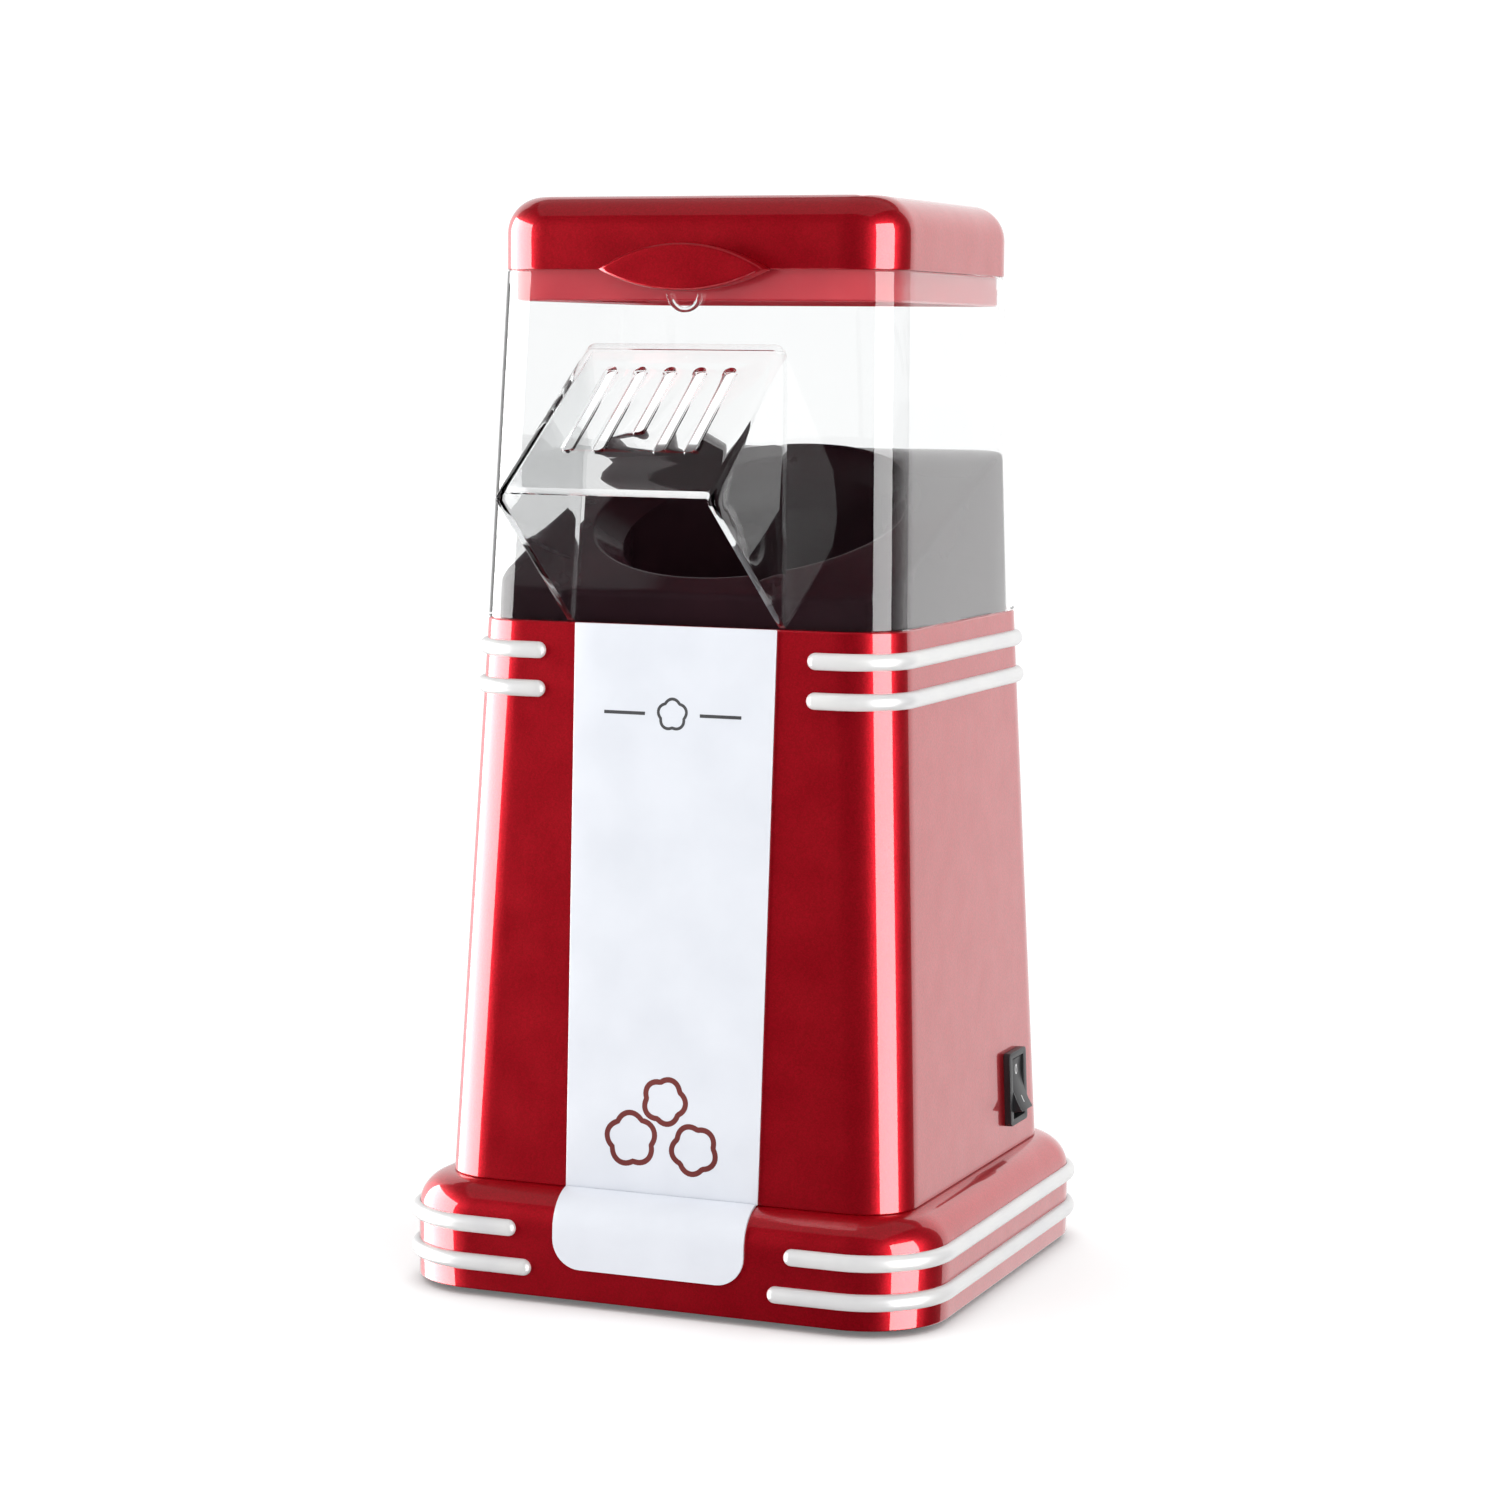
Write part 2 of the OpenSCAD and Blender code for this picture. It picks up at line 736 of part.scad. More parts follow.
module popping_chamber() {
    skin = 0.8;
    top = deck_z + deck_t + 2.8;
    bend = 12;
    outer = chamber_r + skin;
    color("#cfd2d4") difference() {
        rotate_extrude() difference() {
            union() {
                translate([0, chamber_floor + bend]) square([outer, top - chamber_floor - bend]);
                translate([0, chamber_floor]) square([outer - bend, bend + 1]);
                intersection() {
                    translate([outer - bend, chamber_floor + bend]) circle(bend);
                    square([outer, chamber_floor + bend]);
                }
                translate([0, top - skin]) square([43, skin]);
            }
            translate([0, chamber_floor + bend]) square([chamber_r, 100]);
            translate([0, chamber_floor + skin]) square([outer - bend, bend]);
            intersection() {
                translate([outer - bend, chamber_floor + bend]) circle(bend - skin);
                square([outer, chamber_floor + bend]);
            }
        }
        for (i = [0 : 17]) rotate([0, 0, 20 * i]) translate([34, 0, chamber_floor + 17])
            rotate([28, 0, 0]) cube([14, 1.6, 12], center = true);
    }
}

// ---- lift-off cover ----

// Everything under the funnel's sloping face, lowered by drop
module under_slope(drop = 0) {
    translate([0, 0, slope_z - drop / cos(slope_angle)]) rotate([slope_angle, 0, 0])
        translate([-100, -120, -150]) cube([200, 240, 150]);
}

// The funnel's outer form, made smaller all round by inset
module funnel_block(z0, inset) {
    foot = [117, 111.2];
    head = [115.2, 105.8];
    tapered(z0, foot.x - 2 * inset, foot.y - 2 * inset,
            funnel_top, head.x - 2 * inset, head.y - 2 * inset, 12.5 - inset);
}

module funnel_insert() {
    skin = 2.2;
    low = deck_z + deck_t + gap;
    throat_z = deck_z + deck_t + 2.8 + gap;
    lead = 8;
    color("#1c1014") difference() {
        union() {
            difference() {
                intersection() {
                    funnel_block(low, 0);
                    under_slope();
                }
                intersection() {
                    funnel_block(low - 1, skin);
                    under_slope(skin);
                    post(200, low - 2, funnel_top - skin);
                }
            }
            intersection() {
                post(chamber_r + skin, throat_z, funnel_top);
                under_slope();
                funnel_block(low, 0);
            }
            intersection() {
                rim_cone(lead, skin);
                funnel_block(low, 0);
                under_slope();
            }
        }
        post(chamber_r, 150, 260);
        rim_cone(lead, 0);
    }
}

// The flared mouth of the funnel, square to its sloping face
module rim_cone(lead, skin) {
    translate([0, -2, slope_z - 2 * slope]) rotate([slope_angle, 0, 0]) translate([0, 0, -lead])
        cylinder(r1 = chamber_r - 2 + skin, r2 = rim_r + skin, h = lead + eps);
}

module window_cover() {
    color([0.92, 0.94, 0.96, 0.35]) difference() {
        cover_block(body_top + flush, cover_top - flush);
        cover_block(body_top - 1, cover_top + 1, clear_wall);
        rotate([90, 0, 0]) linear_extrude(body_foot_d) hood_section(hood_wall, hood_top - clear_wall);
    }
}

// Y of the cover's front face at height z
function front_y(z) = -cover_d(z) / 2 - flush;

// Outline on the XZ plane between the hood's side walls, made narrower by inset on each side
module hood_section(inset, z1) {
    z0 = body_top - 1;
    polygon([[inset - hood_half(z0), z0], [hood_half(z0) - inset, z0],
             [hood_half(z1) - inset, z1], [inset - hood_half(z1), z1]]);
}

module chute_hood() {
    lip = [-hood_reach, hood_lip];
    top = [front_y(hood_top), hood_top];
    foot = [front_y(body_top + 0.4), body_top + 0.4];
    along = (top - lip) / norm(top - lip);
    inner_lip = lip + [along.y, -along.x] * hood_wall;
    beyond = 5;
    slot_pitch = 8.6;
    color([0.92, 0.94, 0.96, 0.35]) difference() {
        intersection() {
            on_yz(2 * hood_foot_w) polygon([top, lip, inner_lip, foot]);
            rotate([90, 0, 0]) linear_extrude(hood_reach + beyond) hood_section(0, hood_top);
        }
        intersection() {
            on_yz(2 * hood_foot_w) polygon([
                inner_lip - beyond * along, inner_lip + 2 * hood_reach * along, [0, body_top - beyond],
                [-hood_reach - beyond, body_top - beyond]]);
            rotate([90, 0, 0]) linear_extrude(hood_reach + beyond) hood_section(hood_wall, hood_top);
        }
        for (i = [-2 : 2]) translate([i * slot_pitch, top.x, top.y])
            rotate([180 + atan2(along.y, along.x), 0, 0]) mirror([0, 0, 1])
                slot_cutter(i == 0 ? slot_middle_l : slot_l);
    }
}

// Solid of the given width along X whose outline is drawn as [y, z]
module on_yz(width) {
    rotate([90, 0, 90]) linear_extrude(width, center = true) children();
}

// Cutter for a slot with round ends that runs along +Y, starting slot_start from the origin
module slot_cutter(length) {
    r = slot_w / 2;
    translate([-r, slot_start + r, -5]) cube([slot_w, length - slot_w, 10]);
    for (y = [r, length - r]) translate([0, slot_start + y, -5]) cylinder(r = r, h = 10);
}

module lid_catch() {
    z = cover_top - 6.2;
    outer = 5.2;
    inner = 3.8;
    color([0.92, 0.94, 0.96, 0.35]) translate([0, front_y(z - outer), z]) rotate([90, 0, 0])
        difference() {
            intersection() {
                cylinder(r = outer, h = 1.4);
                translate([-outer, -outer, 0]) cube([2 * outer, outer, 5]);
            }
            translate([0, 0, -1]) cylinder(r = inner, h = 5);
        }
}

// ---- lid ----

module lid_form(inset) {
    crowned(cover_top_w, cover_top_d, body_r, cover_top + (inset > 0 ? -1 : flush),
            cover_top + lid_h, lid_round, inset);
}

// Lens-shaped thumb lip, as an outline on the XZ plane
module grip_outline() {
    half = 24;
    rise = 7;
    drop = 5.7;
    upper = (half * half + rise * rise) / (2 * rise);
    lower = (half * half + drop * drop) / (2 * drop);
    translate([0, cover_top]) intersection() {
        translate([0, rise - upper]) circle(upper, $fn = 200);
        translate([0, lower - drop]) circle(lower, $fn = 200);
    }
}

module lid_shell() {
    front = -cover_top_d / 2;
    grip_t = 5;
    grip_back = 0.7;
    color("#b5121b") {
        difference() {
            lid_form(0);
            lid_form(clear_wall);
        }
        translate([0, front - grip_back, 0]) rotate([90, 0, 0]) linear_extrude(grip_t) grip_outline();
        intersection() {
            translate([0, front + 1, 0]) rotate([90, 0, 0]) linear_extrude(grip_back + 2) grip_outline();
            translate([-50, front - 10, cover_top + flush]) cube([100, 20, 20]);
        }
    }
}

module lid_skirt() {
    inset = clear_wall + 0.45;
    thick = 2;
    w = cover_top_w - 2 * inset;
    d = cover_top_d - 2 * inset;
    low = cover_top - skirt_drop;
    color("#a50f17") difference() {
        slab(w, d, body_r - inset, low, 11.5 + skirt_drop);
        slab(w - 2 * thick, d - 2 * thick, body_r - inset - thick, low - 1, 30);
    }
}

rubber_feet();
bottom_plate();
base_screws();
plinth_shell();
plinth_trim_lower();
plinth_trim_upper();
front_tongue();
body_shell();
body_screws();
front_panel();
body_trim_lower();
body_trim_upper();
switch_housing();
switch_terminals();
switch_rocker();
cord_gland();
terminal_block();
rectifier_board();
rectifier_diodes();
lead_wires();
motor_can();
motor_magnets();
motor_bushes();
motor_brushes();
motor_rotor();
motor_shaft();
fan_impeller();
motor_bracket();
motor_grommets();
motor_screws();
bracket_screws();
fan_housing();
housing_screws();
heater_housing();
heater_terminals();
heater_former();
heater_coil();
thermostat();
thermal_fuse();
top_deck();
deck_screws();
chamber_ring();
chamber_gasket();
popping_chamber();
funnel_insert();
window_cover();
chute_hood();
lid_catch();
lid_shell();
lid_skirt();
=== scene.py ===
"""Looks of the retro hot-air popcorn maker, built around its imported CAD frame. Lengths are in metres."""

import json
import math

import bpy
import numpy as np
from mathutils import Matrix, Vector


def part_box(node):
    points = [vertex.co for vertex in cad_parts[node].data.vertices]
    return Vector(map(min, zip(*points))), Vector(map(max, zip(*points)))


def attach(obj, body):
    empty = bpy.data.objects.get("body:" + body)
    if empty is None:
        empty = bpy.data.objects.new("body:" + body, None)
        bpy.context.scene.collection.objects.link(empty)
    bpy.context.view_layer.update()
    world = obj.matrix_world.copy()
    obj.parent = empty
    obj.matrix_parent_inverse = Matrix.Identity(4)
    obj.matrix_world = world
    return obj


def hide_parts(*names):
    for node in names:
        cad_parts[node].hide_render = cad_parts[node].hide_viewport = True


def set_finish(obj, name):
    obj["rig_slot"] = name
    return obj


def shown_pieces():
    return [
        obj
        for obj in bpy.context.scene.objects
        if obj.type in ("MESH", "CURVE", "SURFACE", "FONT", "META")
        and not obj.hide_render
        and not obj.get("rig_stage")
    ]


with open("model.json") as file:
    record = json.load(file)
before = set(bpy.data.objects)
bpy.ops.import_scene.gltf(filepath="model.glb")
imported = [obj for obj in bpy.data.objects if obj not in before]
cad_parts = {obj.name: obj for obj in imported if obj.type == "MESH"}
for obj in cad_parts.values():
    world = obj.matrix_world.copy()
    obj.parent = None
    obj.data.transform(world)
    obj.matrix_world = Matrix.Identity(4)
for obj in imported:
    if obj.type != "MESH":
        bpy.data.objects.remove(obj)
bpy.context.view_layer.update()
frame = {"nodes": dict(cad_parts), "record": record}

MM = 0.001
X, Y, Z = np.eye(3)


# ---- measurements taken from the frame ----

def size_of(node):
    """(width, depth) of a CAD node."""
    low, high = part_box(node)
    return high.x - low.x, high.y - low.y


PLINTH_W, PLINTH_D = size_of("plinth_shell")
PLINTH_Z0, PLINTH_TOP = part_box("plinth_shell")[0].z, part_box("plinth_shell")[1].z
PLINTH_R = 23 * MM
PLINTH_ROUND = 10 * MM
FOOT_W, FOOT_D = size_of("body_shell")
BODY_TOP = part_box("body_shell")[1].z
TOP_W, TOP_D = size_of("window_cover")
LID_W = size_of("lid_shell")[0]
LID_D = 2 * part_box("lid_shell")[1].y
COVER_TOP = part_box("window_cover")[1].z
LID_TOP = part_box("lid_shell")[1].z
CORNER_R = 15.5 * MM
LID_ROUND = 10 * MM
WALL = 2.5 * MM
CLEAR_WALL = 2.2 * MM
PANEL_T = 0.8 * MM
RIB_H = 4.6 * MM
RIB_PROUD = 2.1 * MM
GAP = 0.02 * MM  # between two faces that would otherwise lie in one plane


def mix(a, b, t):
    """The value a share t of the way from a to b."""
    return a + (b - a) * t


def arc_radius(half, rise):
    """Radius of the arc over a chord of the given half length that rises by rise in the middle."""
    return (half * half + rise * rise) / (2 * rise)


def body_size(z):
    """(width, depth) of the body's outside at height z."""
    t = (z - PLINTH_TOP) / (BODY_TOP - PLINTH_TOP)
    return mix(FOOT_W, TOP_W, t), mix(FOOT_D, TOP_D, t)


def cover_size(z):
    """(width, depth) of the clear cover's outside at height z."""
    t = (z - BODY_TOP) / (COVER_TOP - BODY_TOP)
    return mix(TOP_W, LID_W, t), mix(TOP_D, LID_D, t)


# ---- mesh building ----

def new_piece(name, points, faces, body, slot, sharp=32):
    """A mesh piece that rides on a body; edges steeper than sharp degrees stay crisp."""
    mesh = bpy.data.meshes.new(name)
    mesh.from_pydata([tuple(p) for p in points], [], faces)
    mesh.validate()
    piece = bpy.data.objects.new(name, mesh)
    bpy.context.scene.collection.objects.link(piece)
    smooth(piece, sharp)
    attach(piece, body)
    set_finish(piece, slot)
    return piece


def smooth(piece, sharp=32):
    """Smooth shading that keeps edges steeper than sharp degrees crisp."""
    piece.data.shade_smooth()
    piece.data.set_sharp_from_angle(angle=math.radians(sharp))


def apply_modifiers(piece):
    """Turns the piece's modifiers into real geometry."""
    graph = bpy.context.evaluated_depsgraph_get()
    result = bpy.data.meshes.new_from_object(piece.evaluated_get(graph))
    piece.modifiers.clear()
    piece.data = result


def ring_faces(rows, columns, wrap_rows=False, wrap_columns=True):
    """Quads between the rows of a grid of points."""
    faces = []
    for i in range(rows if wrap_rows else rows - 1):
        for j in range(columns if wrap_columns else columns - 1):
            a, b = i * columns, (i + 1) % rows * columns
            k = (j + 1) % columns
            faces.append((a + j, a + k, b + k, b + j))
    return faces


def loft(name, rings, body, slot, closed_section=True, sharp=32):
    """A skin over closed rings of equal length; an open section gets a face at each end."""
    count = len(rings[0])
    faces = ring_faces(len(rings), count, wrap_rows=closed_section)
    if not closed_section:
        last = (len(rings) - 1) * count
        faces += [tuple(range(count - 1, -1, -1)), tuple(range(last, last + count))]
    return new_piece(name, np.concatenate(rings), faces, body, slot, sharp)


def rounded_ring(width, depth, radius, z, steps=14):
    """Points round a rounded rectangle, with one more on each side of every corner to hold the flats."""
    keep = 1.2 * MM
    points = []
    for quarter in range(4):
        start = quarter * math.pi / 2
        cx = (width / 2 - radius) * (1 if quarter in (0, 3) else -1)
        cy = (depth / 2 - radius) * (1 if quarter in (0, 1) else -1)
        along = np.array([-math.sin(start), math.cos(start)])
        first = np.array([cx + radius * math.cos(start), cy + radius * math.sin(start)])
        points.append(first - along * keep)
        for s in range(steps + 1):
            a = start + s * math.pi / 2 / steps
            points.append(np.array([cx + radius * math.cos(a), cy + radius * math.sin(a)]))
        end = np.array([-math.cos(start), -math.sin(start)])
        points.append(points[-1] + end * keep)
    return np.array([[x, y, z] for x, y in points])


def arc(cx, cy, radius, start, end, steps):
    """Points along an arc, angles in degrees."""
    angles = np.radians(np.linspace(start, end, steps + 1))
    return [(cx + radius * math.cos(a), cy + radius * math.sin(a)) for a in angles]


def combine(piece, other, operation):
    """Joins the other object to the piece or takes it away, and removes it."""
    bpy.context.view_layer.update()
    modifier = piece.modifiers.new("combine", "BOOLEAN")
    modifier.operation = operation
    modifier.solver = "EXACT"
    modifier.object = other
    apply_modifiers(piece)
    bpy.data.objects.remove(other)


def cut(piece, shape):
    """Takes a (points, faces) shape away from the piece."""
    combine(piece, bare_object(*shape), "DIFFERENCE")


def bare_object(points, faces):
    """A helper for combine, which rides on no body."""
    mesh = bpy.data.meshes.new("helper")
    mesh.from_pydata([tuple(p) for p in points], [], faces)
    helper = bpy.data.objects.new("helper", mesh)
    bpy.context.scene.collection.objects.link(helper)
    return helper


def prism(outline, origin, u, v, n, near, far):
    """Points and faces of an outline in the (u, v) plane, extruded along n from near to far."""
    origin, u, v, n = (np.array(a, float) for a in (origin, u, v, n))
    if np.dot(np.cross(u, v), n) * area(outline) < 0:
        outline = outline[::-1]
    rings = [[origin + u * a + v * b + n * h for a, b in outline] for h in (near, far)]
    count = len(outline)
    faces = ring_faces(2, count)
    faces += [tuple(range(count - 1, -1, -1)), tuple(range(count, 2 * count))]
    return np.concatenate(rings), faces


def area(outline):
    """Area of a flat outline, negative when it runs clockwise."""
    return sum(a[0] * b[1] - b[0] * a[1] for a, b in zip(outline, outline[1:] + outline[:1])) / 2


def round_edges(piece, width, segments=3, angle=40):
    """Rounds the edges steeper than angle degrees."""
    modifier = piece.modifiers.new("edge_round", "BEVEL")
    modifier.width = width
    modifier.segments = segments
    modifier.limit_method = "ANGLE"
    modifier.angle_limit = math.radians(angle)
    apply_modifiers(piece)
    smooth(piece, 40)


def rounded_outline(width, height, radius):
    """Outline of a rounded rectangle about the origin."""
    steps = 6
    w, h = width / 2 - radius, height / 2 - radius
    points = []
    for cx, cy, start in ((w, h, 0), (-w, h, 90), (-w, -h, 180), (w, -h, 270)):
        points += arc(cx, cy, radius, start, start + 90, steps)
    return points


# ---- materials ----

class Material:
    """A Principled material whose colour, roughness and surface are varied by noise."""

    def __init__(self, name, **constants):
        self.material = bpy.data.materials.new(name)
        self.material.use_nodes = True
        self.nodes = self.material.node_tree.nodes
        self.links = self.material.node_tree.links
        self.shader = self.nodes["Principled BSDF"]
        for socket, value in constants.items():
            self.shader.inputs[socket.replace("_", " ")].default_value = value
        self.place = self.nodes.new("ShaderNodeTexCoord").outputs["Object"]

    def noise(self, scale, detail):
        texture = self.nodes.new("ShaderNodeTexNoise")
        texture.inputs["Scale"].default_value = scale
        texture.inputs["Detail"].default_value = detail
        self.links.new(self.place, texture.inputs["Vector"])
        return texture.outputs["Fac"]

    def cells(self, scale):
        texture = self.nodes.new("ShaderNodeTexVoronoi")
        texture.inputs["Scale"].default_value = scale
        self.links.new(self.place, texture.inputs["Vector"])
        return texture.outputs["Color"]

    def ramp(self, source, low, high, a, b):
        """Maps a source from low to high onto a value or colour from a to b."""
        if isinstance(a, tuple):
            node = self.nodes.new("ShaderNodeValToRGB")
            first, last = node.color_ramp.elements
            first.position, last.position = low, high
            first.color, last.color = (*a, 1), (*b, 1)
            self.links.new(source, node.inputs["Fac"])
            return node.outputs["Color"]
        node = self.nodes.new("ShaderNodeMapRange")
        for socket, value in zip(("From Min", "From Max", "To Min", "To Max"), (low, high, a, b)):
            node.inputs[socket].default_value = value
        self.links.new(source, node.inputs["Value"])
        return node.outputs["Result"]

    def math(self, operation, *sources):
        node = self.nodes.new("ShaderNodeMath")
        node.operation = operation
        for source, socket in zip(sources, node.inputs):
            self.links.new(source, socket)
        return node.outputs["Value"]

    def colour(self, low, high, scale):
        """Blotches of two colours; the middle of the noise spreads over the whole range."""
        fac = self.noise(scale, 4)
        self.links.new(self.ramp(fac, 0.3, 0.7, low, high), self.shader.inputs["Base Color"])
        return self

    def roughness(self, low, high, scale=60):
        fac = self.noise(scale, 4)
        self.links.new(self.ramp(fac, 0.3, 0.7, low, high), self.shader.inputs["Roughness"])
        return self

    def bump(self, scale, depth, coat=False):
        """Surface relief of the given depth in metres, in the surface or only in its coat."""
        node = self.nodes.new("ShaderNodeBump")
        node.inputs["Strength"].default_value = 1.0
        node.inputs["Distance"].default_value = depth
        self.links.new(self.noise(scale, 2), node.inputs["Height"])
        self.links.new(node.outputs["Normal"], self.shader.inputs["Coat Normal" if coat else "Normal"])
        return self


def plain(name, low, high, rough, metallic=0.0, grain=900, depth=0.02 * MM, scale=60, **constants):
    """An everyday moulded, cast or sheet material: two close colours, a range of roughness and a grain."""
    made = Material(name, Metallic=metallic, **constants)
    made.colour(low, high, scale).roughness(rough[0], rough[1]).bump(grain, depth)
    return made.material


def candy_red():
    """Metallic lacquer: fine flakes under a clear coat with a faint orange peel."""
    made = Material("red_shell", Metallic=0.7, Coat_Weight=1.0, Coat_Roughness=0.03, Coat_IOR=1.6)
    flakes = made.ramp(made.cells(2600), 0.0, 1.0, (0.42, 0.0, 0.006), (0.6, 0.0, 0.014))
    made.links.new(flakes, made.shader.inputs["Base Color"])
    made.roughness(0.35, 0.41, 90)
    made.bump(1500, 0.03 * MM)
    made.bump(160, 0.006 * MM, coat=True)
    return made.material


def clear_plastic(name, ior, inner_skin):
    """Clear sheet with a glossy outer skin; with inner_skin, its side walls reflect on the inside too."""
    made = Material(name, Transmission_Weight=1.0, IOR=ior, Coat_IOR=1.55, Coat_Roughness=0.02)
    geometry = made.nodes.new("ShaderNodeNewGeometry")
    weight = made.ramp(geometry.outputs["Backfacing"], 0.0, 1.0, 1.0, 0.0)
    if inner_skin:
        split = made.nodes.new("ShaderNodeSeparateXYZ")
        made.links.new(geometry.outputs["Normal"], split.inputs["Vector"])
        sideways = made.math("ABSOLUTE", split.outputs["X"])
        weight = made.math("MAXIMUM", weight, made.ramp(sideways, 0.8, 1.0, 0.0, 1.0))
    made.links.new(weight, made.shader.inputs["Coat Weight"])
    made.colour((0.925, 0.932, 0.935), (0.94, 0.945, 0.945), 14)
    made.roughness(0.0, 0.03, 22)
    made.bump(26, 0.02 * MM)
    return made.material


MATERIALS = {
    "red_shell": candy_red(),
    "red_skirt": plain("red_skirt", (0.5, 0.03, 0.045), (0.6, 0.045, 0.06), (0.12, 0.2), 0.1),
    "white_panel": plain("white_panel", (0.72, 0.745, 0.8), (0.76, 0.785, 0.84), (0.28, 0.36),
                         grain=500, depth=0.01 * MM, Coat_Weight=0.4, Coat_Roughness=0.12),
    "silver_trim": plain("silver_trim", (0.7, 0.7, 0.71), (0.78, 0.78, 0.77), (0.3, 0.4), 0.15,
                         grain=1400, depth=0.01 * MM),
    "clear_plastic": clear_plastic("clear_plastic", 1.06, True),
    "funnel_black": plain("funnel_black", (0.012, 0.006, 0.008), (0.022, 0.009, 0.012), (0.1, 0.18),
                          grain=300, depth=0.01 * MM, scale=25, IOR=1.09),
    "switch_black": plain("switch_black", (0.018, 0.018, 0.02), (0.035, 0.035, 0.038), (0.35, 0.45)),
    "black_plastic": plain("black_plastic", (0.02, 0.02, 0.021), (0.04, 0.04, 0.042), (0.45, 0.6)),
    "black_rubber": plain("black_rubber", (0.012, 0.012, 0.012), (0.03, 0.03, 0.03), (0.7, 0.85),
                          grain=1800, depth=0.05 * MM),
    "screw_steel": plain("screw_steel", (0.5, 0.5, 0.5), (0.66, 0.66, 0.64), (0.25, 0.4), 1.0),
    "zinc_steel": plain("zinc_steel", (0.44, 0.45, 0.46), (0.6, 0.61, 0.62), (0.3, 0.5), 1.0, scale=140),
    "chamber_aluminium": plain("chamber_aluminium", (0.62, 0.63, 0.64), (0.78, 0.78, 0.79),
                               (0.22, 0.34), 1.0),
    "brass_lug": plain("brass_lug", (0.6, 0.45, 0.18), (0.76, 0.6, 0.28), (0.25, 0.4), 1.0),
    "bronze": plain("bronze", (0.45, 0.28, 0.12), (0.6, 0.4, 0.2), (0.4, 0.55), 1.0),
    "copper_winding": plain("copper_winding", (0.45, 0.17, 0.06), (0.62, 0.28, 0.12), (0.3, 0.45), 0.9,
                            grain=700, depth=0.2 * MM),
    "ferrite": plain("ferrite", (0.05, 0.05, 0.055), (0.09, 0.09, 0.095), (0.55, 0.7)),
    "carbon": plain("carbon", (0.02, 0.02, 0.02), (0.05, 0.05, 0.05), (0.5, 0.65)),
    "fan_plastic": plain("fan_plastic", (0.035, 0.037, 0.04), (0.06, 0.062, 0.066), (0.4, 0.55)),
    "ivory_plastic": plain("ivory_plastic", (0.68, 0.63, 0.52), (0.8, 0.76, 0.65), (0.4, 0.5)),
    "circuit_board": plain("circuit_board", (0.02, 0.12, 0.04), (0.05, 0.2, 0.07), (0.3, 0.45), scale=300),
    "diode_black": plain("diode_black", (0.012, 0.012, 0.012), (0.03, 0.03, 0.03), (0.2, 0.3)),
    "wire_sleeve": plain("wire_sleeve", (0.6, 0.56, 0.48), (0.76, 0.72, 0.64), (0.6, 0.75),
                         grain=1600, depth=0.1 * MM),
    "mica": plain("mica", (0.45, 0.38, 0.26), (0.64, 0.57, 0.42), (0.25, 0.45), scale=220),
    "heater_wire": plain("heater_wire", (0.24, 0.22, 0.2), (0.4, 0.36, 0.33), (0.4, 0.55), 1.0),
    "ceramic_white": plain("ceramic_white", (0.76, 0.76, 0.72), (0.84, 0.84, 0.8), (0.2, 0.3)),
    "silicone_red": plain("silicone_red", (0.4, 0.07, 0.035), (0.5, 0.1, 0.05), (0.55, 0.7)),
}

CLEAR_HOOD = clear_plastic("clear_hood", 1.08, False)
INK_WHITE = plain("ink_white", (0.72, 0.72, 0.72), (0.82, 0.82, 0.82), (0.4, 0.5))
INK_GREY = plain("ink_grey", (0.045, 0.045, 0.05), (0.07, 0.07, 0.075), (0.4, 0.5))
INK_RED = plain("ink_red", (0.15, 0.012, 0.01), (0.2, 0.02, 0.015), (0.4, 0.5))


# ---- plinth ----

def crowned_shell(width, depth, radius, z0, z1, round_r, wall, edge):
    """Rings of the outside and of the inside of a shell with upright sides and a rounded top edge."""
    def at(inset, z):
        return rounded_ring(width - 2 * inset, depth - 2 * inset, max(radius - inset, 0.4 * MM), z)

    inner_r = round_r - wall
    outer = [at(edge - edge * math.cos(a), z0 + edge - edge * math.sin(a))
             for a in np.radians((90, 60, 30, 0))]
    outer += [at(round_r - round_r * math.cos(a), z1 - round_r + round_r * math.sin(a))
              for a in np.radians(np.linspace(0, 90, 15))]
    inner = [at(wall + inner_r - inner_r * math.cos(a), z1 - round_r + inner_r * math.sin(a))
             for a in np.radians(np.linspace(90, 0, 9))]
    inner.append(at(wall, z0))
    return outer, inner


def make_plinth():
    hole_w, hole_d, hole_r = 100 * MM, 94 * MM, 12 * MM
    outer, inner = crowned_shell(PLINTH_W, PLINTH_D, PLINTH_R, PLINTH_Z0, PLINTH_TOP, PLINTH_ROUND,
                                 WALL, 0.4 * MM)
    hole = [rounded_ring(hole_w, hole_d, hole_r, z) for z in (PLINTH_TOP, PLINTH_TOP - WALL)]
    piece = loft("plinth", outer + hole + inner, "root", "red_shell")
    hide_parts("plinth_shell")


# ---- body ----

SWITCH_Y = (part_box("switch_housing")[0].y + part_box("switch_housing")[1].y) / 2
SIDE_TILT = math.atan((FOOT_W - TOP_W) / 2 / (BODY_TOP - PLINTH_TOP))
FRONT_TILT = math.atan((FOOT_D - TOP_D) / 2 / (BODY_TOP - PLINTH_TOP))
SWITCH_Z = 49 * MM
SWITCH_AT = np.array([body_size(SWITCH_Z)[0] / 2, SWITCH_Y, SWITCH_Z])
SIDE_OUT = np.array([math.cos(SIDE_TILT), 0, math.sin(SIDE_TILT)])
SIDE_UP = np.array([-math.sin(SIDE_TILT), 0, math.cos(SIDE_TILT)])


def on_side(outline, near, far):
    """An outline round the switch's middle, as a prism from near to far along the side wall's normal."""
    return prism(outline, SWITCH_AT, Y, SIDE_UP, SIDE_OUT, near, far)


